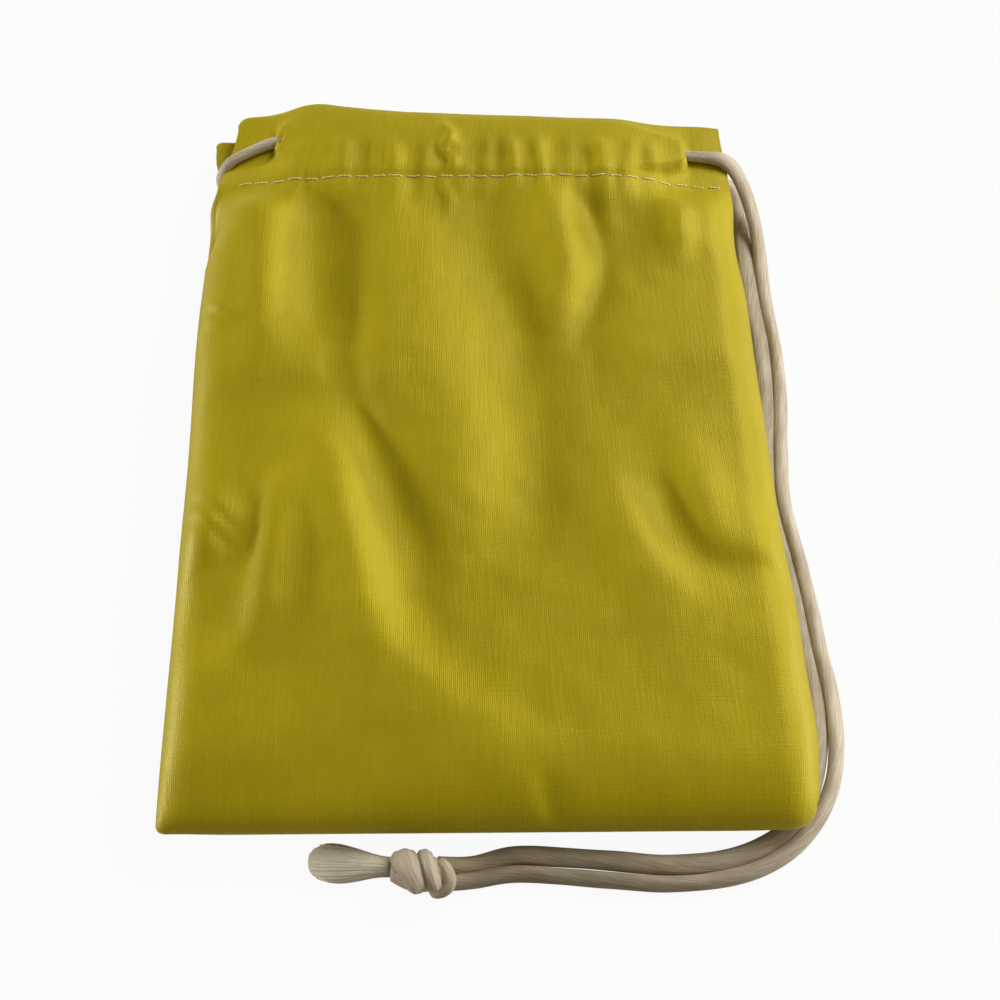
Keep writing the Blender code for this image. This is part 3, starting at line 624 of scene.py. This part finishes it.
def smooth_points(route, steps):
    """Points on a smooth curve through the route's own points, each of any number of values."""
    route = [np.array(place, float) for place in route]
    ahead = [2 * route[0] - route[1]] + route + [2 * route[-1] - route[-2]]
    points = []
    for before, start, end, after in zip(ahead, ahead[1:], ahead[2:], ahead[3:]):
        for step in range(steps):
            share = step / steps
            bend = 2 * before - 5 * start + 4 * end - after
            twist = 3 * start - before - 3 * end + after
            points.append(start + 0.5 * share * (end - before + share * (bend + share * twist)))
    return np.array(points + [route[-1]])


def fold_height(x, y, left_width, right_width, route):
    """Height that one fold adds. Its width may differ on the two sides of its route."""
    points = smooth_points(route, 4) * MM
    nearest = np.full(x.shape, np.inf)
    height = np.zeros(x.shape)
    side = np.zeros(x.shape)
    for start, end in zip(points, points[1:]):
        run = end[:2] - start[:2]
        share = np.clip(((x - start[0]) * run[0] + (y - start[1]) * run[1]) / (run @ run), 0.0, 1.0)
        off_x = x - start[0] - share * run[0]
        off_y = y - start[1] - share * run[1]
        distance = np.hypot(off_x, off_y)
        closer = distance < nearest
        nearest = np.where(closer, distance, nearest)
        height = np.where(closer, mix(start[2], end[2], share), height)
        side = np.where(closer, run[0] * off_y - run[1] * off_x, side)
    width = np.where(side > 0, right_width, left_width) * MM
    return height * bell(nearest, width)


def gather_height(x, y):
    """Pleats that start in the casing, cross the stitches and fade out below them."""
    total = np.zeros(x.shape)
    for at_x, lean, height, left, right, reach in GATHERS:
        below = (STITCH_Y - y) / (reach * MM)
        above = (y - STITCH_Y) / CASING_DEPTH
        centre = (at_x + lean * np.clip(below, -GATHER_REACH, GATHER_REACH)) * MM
        fade = (1.0 - smoothstep(*GATHER_FADE_BELOW, below)) * (1.0 - smoothstep(*GATHER_FADE_ABOVE, above))
        spread = 1.0 + GATHER_SPREAD * np.clip(below, 0.0, GATHER_REACH)
        width = np.where(x < centre, left, right) * MM * spread
        total += GATHER_SCALE * height * MM * fade * bell(x - centre, width)
    return total


def uneven(x, y, waves, seed):
    """Smooth uneven values about 0 over the cloth."""
    flat = [noise.noise(Vector((a * waves, b * waves, seed))) for a, b in zip(x.ravel(), y.ravel())]
    return np.array(flat).reshape(x.shape)


def front_relief(x, y):
    """The front's folds, and its gathers and rumples apart from them."""
    folds = FOLD_SCALE * sum(fold_height(x, y, *fold[1:]) for fold in FRONT_FOLDS)
    fine = gather_height(x, y) + fold_height(x, y, *ZIGZAG[1:])
    for height, waves, seed in FRONT_UNEVEN:
        fine = fine + height * uneven(x, y, waves, seed)
    height, waves, seed = PUCKER
    pucker = bell(y - STITCH_Y, PUCKER_SPREAD) * uneven(x, PUCKER_STRETCH * y, waves, seed)
    return folds, fine + height * pucker


def back_relief(x, y):
    """The same for the back, which never comes below the table."""
    folds = sum(fold_height(x, y, *fold[1:]) for fold in BACK_FOLDS)
    height, waves, seed = BACK_UNEVEN
    return folds, height * (uneven(x, y, waves, seed) + BACK_UNEVEN_LIFT)


def held_share(x, y):
    """1 where the casing is a tunnel round the drawstring, 0 on its flat side ends."""
    start, end = SLIT_FADE
    off = smoothstep(SLIT_HALF + start, SLIT_HALF + end, np.abs(y - casing_line(x)))
    left_x = mix(LEFT_SLIT_X, LEFT_DROP_X, off)
    left_run = mix(SLIT_EDGE_RUN, LEFT_DROP_RUN, off)
    right_x = mix(RIGHT_SLIT_X, RIGHT_DROP_X, off)
    right_run = mix(SLIT_EDGE_RUN, RIGHT_DROP_RUN, off)
    return step_round(left_x, left_run, x) * (1.0 - step_round(right_x, right_run, x))


def inner_held_share(x):
    """The same for the inner layer, which drops further inside the tunnel, under the drawstring."""
    near, far = INNER_DROP
    from_left = smoothstep(LEFT_SLIT_X + near, LEFT_SLIT_X + far, x)
    return from_left * (1.0 - smoothstep(RIGHT_SLIT_X - far, RIGHT_SLIT_X - near, x))


def near_slit(x):
    """1 at the slits, where the tunnel lies lower and is narrower, 0 in the middle of the casing."""
    to_left = 1.0 - smoothstep(LEFT_SLIT_X, LEFT_SLIT_X + SLIT_DROP_RUN, x)
    to_right = smoothstep(RIGHT_SLIT_X - SLIT_DROP_RUN, RIGHT_SLIT_X, x)
    return to_left + to_right


def casing_height(side, x, rise, held, layer):
    """Height of the casing's outer (1) or inner (-1) layer; rise is 0 at the stitches and 1 at the mouth."""
    bulge = np.sin(math.pi * np.clip(rise, 0.0, 1.0)) ** TUNNEL_POWER
    opening = mix(LAYER_GAP, CORD_GAP - SLIT_NARROWING * near_slit(x), bulge * held)
    from_stitches = smoothstep(0.0, TUNNEL_RUN, rise)
    if side == FRONT:
        cord_height = FRONT_CORD_HEIGHT - SLIT_DROP * near_slit(x)
        stitched = cord_height + CORD_GAP - STITCH_GROOVE - LAYER_GAP
        middle = mix(stitched, cord_height, from_stitches)
        left_end = FRONT_END_HEIGHT + LEFT_END_RISE * (1.0 - smoothstep(0.0, LEFT_END_RISE_RUN, rise))
        end = np.where(x < 0, left_end, FRONT_END_HEIGHT)
        end = end - END_DROP * np.maximum(np.abs(x) - END_DROP_START, 0.0) ** 2
    else:
        stitched = CLOTH / 2 + STITCH_GROOVE + LAYER_GAP
        middle = mix(stitched, BACK_CORD_HEIGHT, from_stitches)
        end = BACK_END_HEIGHT
    return mix(end, middle, held) + side * layer * opening


def body_height(side, x, y, from_side, relief):
    from_fold = y - fold_line(x)
    if side == FRONT:
        crown = mix(FOOT_CROWN, BELLY_CROWN, smoothstep(FOLD_Y, BELLY_Y, y)) + relief
        strip = LEFT_STRIP * smoothstep(*LEFT_STRIP_RUN, y) * (x < 0)
        from_side = np.maximum(from_side - strip, LEFT_STRIP_SLOPE * from_side)
        rise = dome(from_side, FRONT_SIDE_ROUND) * dome(from_fold, FRONT_FOLD_ROUND)
        return SEAM_HEIGHT + (crown - SEAM_HEIGHT) * rise
    rise = (1.0 - lift(from_side, BACK_SIDE_ROUND)) * dome(from_fold, BACK_FOLD_ROUND)
    return SEAM_HEIGHT + (CLOTH / 2 - SEAM_HEIGHT) * rise + relief * rise


def quarter_round(radius):
    """Places over a rounded edge, close together at its start."""
    return [radius * (1 - math.cos(math.pi / 2 * step / EDGE_STEPS)) for step in range(EDGE_STEPS)]


def edge_shares():
    radius = FRONT_SIDE_ROUND / (LEFT_REACH + RIGHT_REACH)
    quarter = quarter_round(radius)
    middle = [radius + (1 - 2 * radius) * step / MIDDLE_COLUMNS for step in range(MIDDLE_COLUMNS + 1)]
    return np.array(quarter + middle + [1 - place for place in reversed(quarter)])


def cloth_rows():
    """Every row of a panel, from the bottom fold over the mouth to the hem's end, as (place, share)."""
    span = STITCH_Y - FOLD_Y
    start = FRONT_FOLD_ROUND / span
    rows = quarter_round(start)
    rows += [mix(start, 1.0, step / BODY_ROWS) for step in range(BODY_ROWS)]
    vent = (VENT_Y - FOLD_Y) / span
    closest = min(range(len(rows)), key=lambda row: abs(rows[row] - vent))
    rows[closest] = vent
    rows = [("body", share) for share in rows]
    rows += [("outer", step / CASING_ROWS) for step in range(CASING_ROWS + 1)]
    rows += [("turn", step / MOUTH_STEPS) for step in range(1, MOUTH_STEPS)]
    rows += [("inner", 1 - step / INNER_ROWS) for step in range(INNER_ROWS + 1)]
    return rows + [("inner", -HEM_TURN / CASING_DEPTH)]


def panel_points(side, held_override=None):
    """Middle surface of one panel as an array of rows, columns and places.

    held_override, where it is given, stands for held_share all over the casing.
    """
    rows = cloth_rows()
    part = np.array([place for place, _share in rows])[:, None]
    shares = np.array([share for _place, share in rows])[:, None]
    body = part == "body"
    rises = np.where(body, 0.0, np.where(part == "turn", 1.0, shares))
    levels = np.where(body, mix(FOLD_Y, STITCH_Y, shares), STITCH_Y + CASING_DEPTH * rises)
    left, right = edges(side, levels)
    x = mix(left, right, edge_shares())
    rise = rises + 0.0 * x
    y_casing = mix(STITCH_Y, mouth_line(side, x) - LAYER_GAP, rise)
    y = np.where(body, mix(fold_line(x), STITCH_Y, shares), y_casing)
    folds, fine = front_relief(x, y) if side == FRONT else back_relief(x, y)

    held = held_share(x, y) if held_override is None else np.full(x.shape, held_override)
    stitched = casing_height(side, x, 0.0 * x, held, 1)
    level_with_mouth = 1.0 - MOUTH_CALM * smoothstep(MOUTH_CALM_START, 1.0, rise)
    casing_relief = np.maximum(CASING_FOLD_SCALE * folds, -CASING_FOLD_DEPTH) + CASING_FINE_SCALE * fine
    casing_relief = np.maximum(casing_relief, -CASING_DEPTH_LIMIT)
    casing_relief = casing_relief * level_with_mouth * mix(FLAT_END_SHARE, 1.0, held)
    casing_relief = casing_relief * mix(STITCHED_SHARE, 1.0, smoothstep(0.0, STITCHED_RUN, rise))
    towards_casing = smoothstep(VENT_Y - VENT, STITCH_Y, y)
    from_side = np.minimum(x - left, right - x)
    body_z = mix(body_height(side, x, y, from_side, folds + fine), stitched + casing_relief, towards_casing)
    outer_z = casing_height(side, x, rise, held, 1) + casing_relief
    inner_relief = casing_relief * smoothstep(INNER_RELIEF_START, 1.0, rise)
    inner_held = np.minimum(inner_held_share(x), held)
    inner_z = casing_height(side, x, rise, inner_held, -1) + inner_relief

    turn = np.where(part == "turn", math.pi * shares, 0.0)
    turn_z = (outer_z + inner_z) / 2 + (outer_z - inner_z) / 2 * np.cos(turn)
    z = np.select([body, part == "outer", part == "turn"], [body_z, outer_z, turn_z], inner_z)
    return np.stack([x, y + LAYER_GAP * np.sin(turn), z], axis=-1)


def flat_lengths(rows):
    """Length along the flat cloth of every row, from the bottom fold."""
    casing = STITCH_Y - FOLD_Y
    mouth = casing + CASING_DEPTH
    turn = LAYER_GAP * math.pi
    runs = {"body": (0.0, casing), "outer": (casing, CASING_DEPTH), "turn": (mouth, turn),
            "inner": (mouth + turn + CASING_DEPTH, -CASING_DEPTH)}
    return [runs[place][0] + runs[place][1] * share for place, share in rows]


def spot_of(vertex, rows, columns):
    """Row and column of a vertex in a flat grid."""
    return round((vertex.co.y + 0.5) * rows), round((vertex.co.x + 0.5) * columns)


def add_grid(bm, rows, columns, uv_layer, uv_at):
    """A flat grid with its map: the row and column of each vertex, and the faces."""
    made = bmesh.ops.create_grid(bm, x_segments=columns, y_segments=rows, size=0.5)
    spots = {vertex: spot_of(vertex, rows, columns) for vertex in made["verts"]}
    faces = {face for vertex in spots for face in vertex.link_faces}
    for face in faces:
        for loop in face.loops:
            loop[uv_layer].uv = uv_at(*spots[loop.vert])
    return spots, faces


def add_panel(cloth, side, uv_layer):
    """One panel: a flat grid, its slits cut open, and its vertices moved to the panel's shape."""
    rows = cloth_rows()
    lengths = flat_lengths(rows)
    places = panel_points(side)
    lowered = panel_points(side, 0.0)
    lifted = panel_points(side, 1.0)
    last_row = len(rows) - 1
    columns = places.shape[1] - 1
    width = LEFT_REACH + RIGHT_REACH
    spots, faces = add_grid(cloth, last_row, columns, uv_layer,
                            lambda row, column: (column / columns * width, side * lengths[row]))

    outer_rows = [row for row, (place, _share) in enumerate(rows) if place == "outer"]
    slits = []
    for slit_x in (LEFT_SLIT_X, RIGHT_SLIT_X):
        column = int(np.argmin(np.abs(places[outer_rows[SLIT_SEEK_ROW], :, 0] - slit_x)))
        slits.append([(row, column) for row in outer_rows
                      if abs(places[row, column, 1] - casing_line(places[row, column, 0])) < SLIT_HALF])
    cuts = [edge for edge in cloth.edges for slit in slits
            if all(spots.get(vertex) in slit for vertex in edge.verts)]
    centres = {face: face.calc_center_median().x for face in faces}
    bmesh.ops.split_edges(cloth, edges=cuts)
    for vertex in {vertex for face in faces for vertex in face.verts}:
        spot = spot_of(vertex, last_row, columns)
        source = places
        for slit, tunnel_on_right in zip(slits, (True, False)):
            if spot in slit[1:-1]:
                beside = sum(centres[face] for face in vertex.link_faces) / len(vertex.link_faces)
                source = lifted if (beside > vertex.co.x) == tunnel_on_right else lowered
        vertex.co = source[spot]


def new_mesh():
    bm = bmesh.new()
    return bm, bm.loops.layers.uv.new("UVMap")


def new_object(name, bm, finish):
    data = bpy.data.meshes.new(name)
    bm.to_mesh(data)
    bm.free()
    data.shade_smooth()
    data.materials.append(finish)
    thing = bpy.data.objects.new(name, data)
    bpy.context.scene.collection.objects.link(thing)
    return thing


def closed_piece(name, bm, finish):
    bmesh.ops.recalc_face_normals(bm, faces=bm.faces)
    return new_object(name, bm, finish)


def build_cloth(finish):
    cloth, uv_layer = new_mesh()
    add_panel(cloth, FRONT, uv_layer)
    add_panel(cloth, BACK, uv_layer)
    bmesh.ops.remove_doubles(cloth, verts=cloth.verts, dist=WELD)
    bmesh.ops.recalc_face_normals(cloth, faces=cloth.faces)
    finder = BVHTree.FromBMesh(cloth)
    piece = new_object("pouch_cloth", cloth, finish)
    thickness = piece.modifiers.new("cloth thickness", "SOLIDIFY")
    thickness.thickness = CLOTH
    thickness.offset = 0.0
    return piece, finder


def lengths_along(points):
    """Length along the line at each of its points."""
    return np.concatenate([[0.0], np.cumsum(np.linalg.norm(np.diff(points, axis=0), axis=1))])


def even_points(points, gap):
    """The same line with points an even distance apart."""
    points = np.asarray(points)
    along = lengths_along(points)
    count = max(int(round(along[-1] / gap)), 2)
    wanted = np.linspace(0.0, along[-1], count + 1)
    return np.stack([np.interp(wanted, along, axis) for axis in points.T], axis=-1)


def add_tube(bm, uv_layer, points, sides, outline):
    """A closed tube along points: a grid whose columns go round it. outline gives a place on the section."""
    rings = len(points) - 1
    tangents = np.gradient(points, axis=0)
    tangents /= np.linalg.norm(tangents, axis=1)[:, None]
    across = np.cross(tangents[0], (0.0, 0.0, 1.0))
    if np.linalg.norm(across) < 0.3:
        across = np.cross(tangents[0], (1.0, 0.0, 0.0))
    frames = []
    for tangent in tangents:
        across = across - tangent * (across @ tangent)
        across = across / np.linalg.norm(across)
        frames.append((across, np.cross(across, tangent)))
    lengths = lengths_along(points)
    spots, _faces = add_grid(bm, rings, sides, uv_layer, lambda ring, column: (column / sides, lengths[ring]))
    for vertex, (ring, column) in spots.items():
        angle = 2 * math.pi * (column % sides) / sides
        wide, tall = outline(angle, lengths[ring], lengths[ring] / lengths[-1])
        side_way, up_way = frames[ring]
        vertex.co = points[ring] + side_way * wide + up_way * tall
    bmesh.ops.remove_doubles(bm, verts=list(spots), dist=TUBE_WELD)
    ends = [edge for edge in bm.edges if edge.is_boundary]
    bmesh.ops.holes_fill(bm, edges=ends, sides=0)


def round_outline(radius_at):
    """A round section whose radius changes along the piece."""
    def outline(angle, _length, share):
        radius = radius_at(share)
        return math.cos(angle) * radius, math.sin(angle) * radius
    return outline


def soft_outline(shape):
    """Section of the soft cord: bundles of fibre that turn slowly round it, wide and flat by turns."""
    places, wide, tall = (np.array(values) * MM for values in zip(*shape))

    def outline(angle, length, _share):
        bundles = 0.5 + 0.5 * math.cos(BUNDLES * angle + length * BUNDLE_TWIST)
        deep = 0.5 + 0.5 * math.cos(2 * angle - length * GROOVE_TWIST + 1.0)
        ripple = 0.93 + 0.04 * bundles + 0.03 * deep + 0.015 * math.sin(length * CORD_WAVES)
        half_wide = float(np.interp(length, places, wide)) * ripple
        half_tall = float(np.interp(length, places, tall)) * ripple
        return math.cos(angle) * half_wide, math.sin(angle) * half_tall
    return outline


def build_strand(name, route, shape, finish):
    bm, uv_layer = new_mesh()
    points = even_points(smooth_points(route, ROUTE_STEPS), CORD_RING_GAP)
    add_tube(bm, uv_layer, points, CORD_SIDES, soft_outline(shape))
    return closed_piece(name, bm, finish), points


def in_tunnel(side, x):
    """Where the drawstring's middle lies in its tunnel."""
    height = FRONT_CORD_HEIGHT - SLIT_DROP * float(near_slit(x)) if side == FRONT else BACK_CORD_HEIGHT
    return x, casing_line(x), height


def held_route():
    """The drawstring from the front right slit through both casings to the back right slit."""
    across = (RIGHT_SLIT_X - HELD_END, *HELD_ACROSS, LEFT_SLIT_X)
    front = [in_tunnel(FRONT, x) for x in across]
    back = [in_tunnel(BACK, x) for x in reversed(across)]
    return front + [(x * MM, WRAP_Y + y * MM, z * MM) for x, y, z in WRAP_ROUTE] + back


def free_route(side, route):
    """One free end, from inside the tunnel, out of its slit and along the route to the knot."""
    starts = [in_tunnel(side, RIGHT_SLIT_X - inside) for inside in FREE_STARTS]
    laid = [(x * MM, y * MM, height[0] * MM if height else TABLE) for x, y, *height in route]
    inside, aside = KNOT_ENTRY
    return (*starts, *laid, (KNOT.x + KNOT_RADII[0] - inside, KNOT.y - side * aside, KNOT.z - CORD / 4))


def build_knot(finish):
    """The overhand knot of both ends: flattened turns of cord round a core."""
    bm, uv_layer = new_mesh()

    def core(angle, length, share):
        swell = KNOT_CORE_RADII[0] + KNOT_CORE_RADII[1] * math.sin(math.pi * share)
        ripple = 1.0 + 0.05 * math.cos(9 * angle + share * 3.0)
        return math.cos(angle) * swell * ripple * 1.25, math.sin(angle) * swell * ripple
    core_points = np.array(KNOT) + KNOT_CORE
    add_tube(bm, uv_layer, even_points(core_points, CORD_RING_GAP), KNOT_SIDES, core)

    _long, tall, deep = KNOT_RADII
    loops = []
    for along, lean, thick, wide, start, sweep in KNOT_TURNS:
        ring = []
        for step in range(TURN_STEPS + 1):
            share = step / TURN_STEPS
            angle = start + sweep * share
            tuck = 1.0 - TURN_TUCK * (1 - math.sin(math.pi * share) ** 0.4)
            ring.append((KNOT.x + along + lean * math.cos(angle) + KNOT_PITCH * share,
                         KNOT.y + math.cos(angle) * (tall - thick) * tuck,
                         KNOT.z + math.sin(angle) * (deep - thick) * tuck))
        loops.append((smooth_points(ring, 2), thick, wide))
    curl = [(KNOT.x + x, KNOT.y + y, z) for x, y, z in KNOT_CURL]
    loops.append((smooth_points(curl, 6), *CURL_HALF))
    for points, thick, wide in loops:
        add_tube(bm, uv_layer, even_points(points, CORD_RING_GAP), KNOT_SIDES, wrap_outline(thick, wide))
    return closed_piece("cord_knot", bm, finish)


def wrap_outline(thick, wide):
    def outline(angle, length, share):
        ends = min(1.0, 6 * share + 0.4, 6 * (1 - share) + 0.4)
        ripple = 1.0 + 0.05 * math.cos(7 * angle + length * 500.0)
        ripple = ripple + 0.03 * math.cos(11 * angle - length * 300.0)
        return math.cos(angle) * wide * ripple * ends, math.sin(angle) * thick * ripple * ends
    return outline


def build_tail(finish):
    """Both frayed ends: many loose fibres that fan out from the knot into a flat brush."""
    bm, uv_layer = new_mesh()
    hair = round_outline(lambda share: FIBRE_RADIUS * (1.0 - FIBRE_TAPER * share ** 6))
    start_x = KNOT.x - KNOT_RADII[0] + TAIL_INSIDE
    for fibre in range(FIBRES):
        turn = fibre * GOLDEN_TURN
        out = ((fibre + 0.5) / FIBRES) ** TAIL_SPREAD
        flare_y = math.cos(turn) * out
        flare_z = math.sin(turn) * out
        reach = TAIL_LENGTH * (0.985 + 0.015 * math.sin(fibre * 1.7)) * (1.0 - 0.17 * abs(flare_y) ** 2.6)
        points = []
        for step in range(FIBRE_STEPS + 1):
            share = step / FIBRE_STEPS
            half_wide = mix(*TAIL_WIDE, float(smoothstep(0.10, 0.95, share))) * (1 - 0.10 * share ** 6)
            half_tall = mix(*TAIL_TALL, share)
            sway = 0.00008 * math.sin(fibre * 2.1 + share * 7.0) * share
            y = KNOT.y + TAIL_SIDEWAYS[0] + TAIL_SIDEWAYS[1] * share + flare_y * half_wide + sway
            z = TAIL_HEIGHT[0] + TAIL_HEIGHT[1] * (1 - share) ** 2 + flare_z * half_tall
            points.append((start_x - reach * share, y, z))
        add_tube(bm, uv_layer, np.array(points), FIBRE_SIDES, hair)
    return closed_piece("frayed_cord_ends", bm, finish)


def build_stitches(name, side, finder, finish):
    """One row of separate stitches that lie on the cloth and dive into it at both ends."""
    bm, uv_layer = new_mesh()
    ends, middle = STITCH_GIRTH
    thread = round_outline(lambda share: THREAD / 2 * (ends + middle * math.sin(math.pi * share)))
    left = -(FRONT_LEFT_REACH if side == FRONT else BACK_LEFT_REACH) + STITCH_MARGINS[0]
    right = (FRONT_RIGHT_REACH if side == FRONT else BACK_RIGHT_REACH) - STITCH_MARGINS[1]
    count = int((right - left) / STITCH_PITCH)
    for stitch in range(count):
        start = left + (right - left) * stitch / count
        wander = STITCH_WANDER[0] * math.sin(stitch * 2.7) + STITCH_WANDER[1] * math.sin(stitch * 5.1)
        tilt = STITCH_TILT * math.sin(stitch * 3.9 + 1.0)
        points = []
        for step in range(STITCH_STEPS + 1):
            share = step / STITCH_STEPS
            x = start + (STITCH_SPAN[0] + STITCH_SPAN[1] * share) * STITCH_PITCH
            y = STITCH_Y + wander + tilt * (share - 0.5)
            above = Vector((x, y, side * RAY_HEIGHT))
            hit, normal, _face, _far = finder.ray_cast(above, Vector((0, 0, -side)))
            if hit is None:
                continue
            normal = normal if normal.z * side > 0 else -normal
            sunk = abs(2 * share - 1) ** 6
            points.append(tuple(hit + normal * (CLOTH / 2 + THREAD * mix(*STITCH_RISE, sunk))))
        if len(points) > STITCH_STEPS / 2:
            add_tube(bm, uv_layer, np.array(points), THREAD_SIDES, thread)
    return closed_piece(name, bm, finish)


def build_seam_thread(name, column, finish):
    """The thread of one side seam, just inside it, from the bottom fold to the vent."""
    bm, uv_layer = new_mesh()
    rows = [row for row, (place, _share) in enumerate(cloth_rows()) if place == "body"][EDGE_STEPS - 1:]
    places = panel_points(FRONT)[rows, column]
    inset = CLOTH + CLEAR + THREAD / 2
    inward = np.array((inset if column == 0 else -inset, 0.0, CLOTH))
    points = even_points(places[places[:, 1] < VENT_Y] + inward, SEAM_RING_GAP)
    add_tube(bm, uv_layer, points, THREAD_SIDES, round_outline(lambda _share: THREAD / 2))
    return closed_piece(name, bm, finish)


def place_looking(thing, place, look):
    """Puts a camera or lamp at its place, turned to look along a direction."""
    thing.location = place
    thing.rotation_mode = "QUATERNION"
    thing.rotation_quaternion = look.to_track_quat("-Z", "Y")
    bpy.context.scene.collection.objects.link(thing)


def add_camera():
    data = bpy.data.cameras.new("camera")
    data.sensor_width = SENSOR
    data.lens = FOCAL_PIXELS / PICTURE_PIXELS * SENSOR
    data.clip_start, data.clip_end = CAMERA_CLIPS
    camera = bpy.data.objects.new("camera", data)
    elevation = math.radians(CAMERA_ELEVATION)
    azimuth = math.radians(CAMERA_AZIMUTH)
    look = Vector((math.sin(azimuth) * math.cos(elevation), math.cos(azimuth) * math.cos(elevation),
                   -math.sin(elevation)))
    place_looking(camera, CAMERA_PLACE, look)
    bpy.context.scene.camera = camera


def add_lamp(name, place, target, wide, tall, power, colour):
    data = bpy.data.lights.new(name, "AREA")
    data.shape = "RECTANGLE"
    data.size = wide
    data.size_y = tall
    data.energy = power
    data.color = colour
    place_looking(bpy.data.objects.new(name, data), place, Vector(target) - Vector(place))


def add_studio():
    bm = bmesh.new()
    bmesh.ops.create_grid(bm, x_segments=1, y_segments=1, size=TABLE_HALF)
    floor = new_object("table", bm, floor_finish())
    world = bpy.data.worlds.new("studio")
    world.use_nodes = True
    tree = world.node_tree
    background = tree.nodes["Background"]
    backdrop = tree.nodes.new("ShaderNodeBackground")
    for node, colour, strength in ((background, ROOM_LIGHT, ROOM_STRENGTH), (backdrop, WHITE, 1.0)):
        node.inputs["Color"].default_value = colour
        node.inputs["Strength"].default_value = strength
    seen = tree.nodes.new("ShaderNodeLightPath")
    both = tree.nodes.new("ShaderNodeMixShader")
    tree.links.new(seen.outputs["Is Camera Ray"], both.inputs[0])
    tree.links.new(background.outputs["Background"], both.inputs[1])
    tree.links.new(backdrop.outputs["Background"], both.inputs[2])
    tree.links.new(both.outputs["Shader"], tree.nodes["World Output"].inputs["Surface"])
    bpy.context.scene.world = world
    for lamp in LAMPS:
        add_lamp(*lamp)


def dress(piece, slot, *nodes):
    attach(piece, "root")
    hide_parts(*nodes)
    return piece


bpy.context.scene.view_settings.view_transform = "Standard"
add_camera()
cord = cord_finish("greige silky cord", CORD_DARK, CORD_PALE)
# The free ends get painted shade on their lower run, where the pouch's shadow falls
free_cord = cord_finish("free run of the cord, painted shade near the knot", CORD_DARK, CORD_PALE, SHADED_LOWER_RUN)
# The loose fibres get painted shade where they leave the knot
loose_fibre = cord_finish("loose cord fibre, painted shade at the knot", FIBRE_DARK, FIBRE_PALE, SHADED_FRAY_NECK)
knot = dress(build_knot(cord), "greige_cord", "drawstring_knot")
tail = dress(build_tail(loose_fibre), "greige_cord", "drawstring_tail")
front_way = free_route(FRONT, FRONT_ROUTE)
front_end, front_points = build_strand("front_cord_end", front_way, FRONT_SHAPE, free_cord)
dress(front_end, "greige_cord", "drawstring_front_strand")
back_way = free_route(BACK, BACK_ROUTE)
back_end, back_points = build_strand("back_cord_end", back_way, BACK_SHAPE, free_cord)
dress(back_end, "greige_cord", "drawstring_back_strand")
held, _held_points = build_strand("held_cord", held_route(), HELD_SHAPE, cord)
dress(held, "greige_cord", "drawstring_held")

cloth, finder = build_cloth(cloth_finish())
dress(cloth, "mustard_cloth", "pouch_body")
thread = thread_finish()
front_stitches = dress(build_stitches("front_casing_stitches", FRONT, finder, thread),
                       "pale_thread", "front_hem_thread")
back_stitches = dress(build_stitches("back_casing_stitches", BACK, finder, thread),
                      "pale_thread", "back_hem_thread")
left_thread = dress(build_seam_thread("left_seam_stitching", 0, thread),
                    "pale_thread", "left_seam_thread")
right_thread = dress(build_seam_thread("right_seam_stitching", -1, thread),
                     "pale_thread", "right_seam_thread")

add_studio()
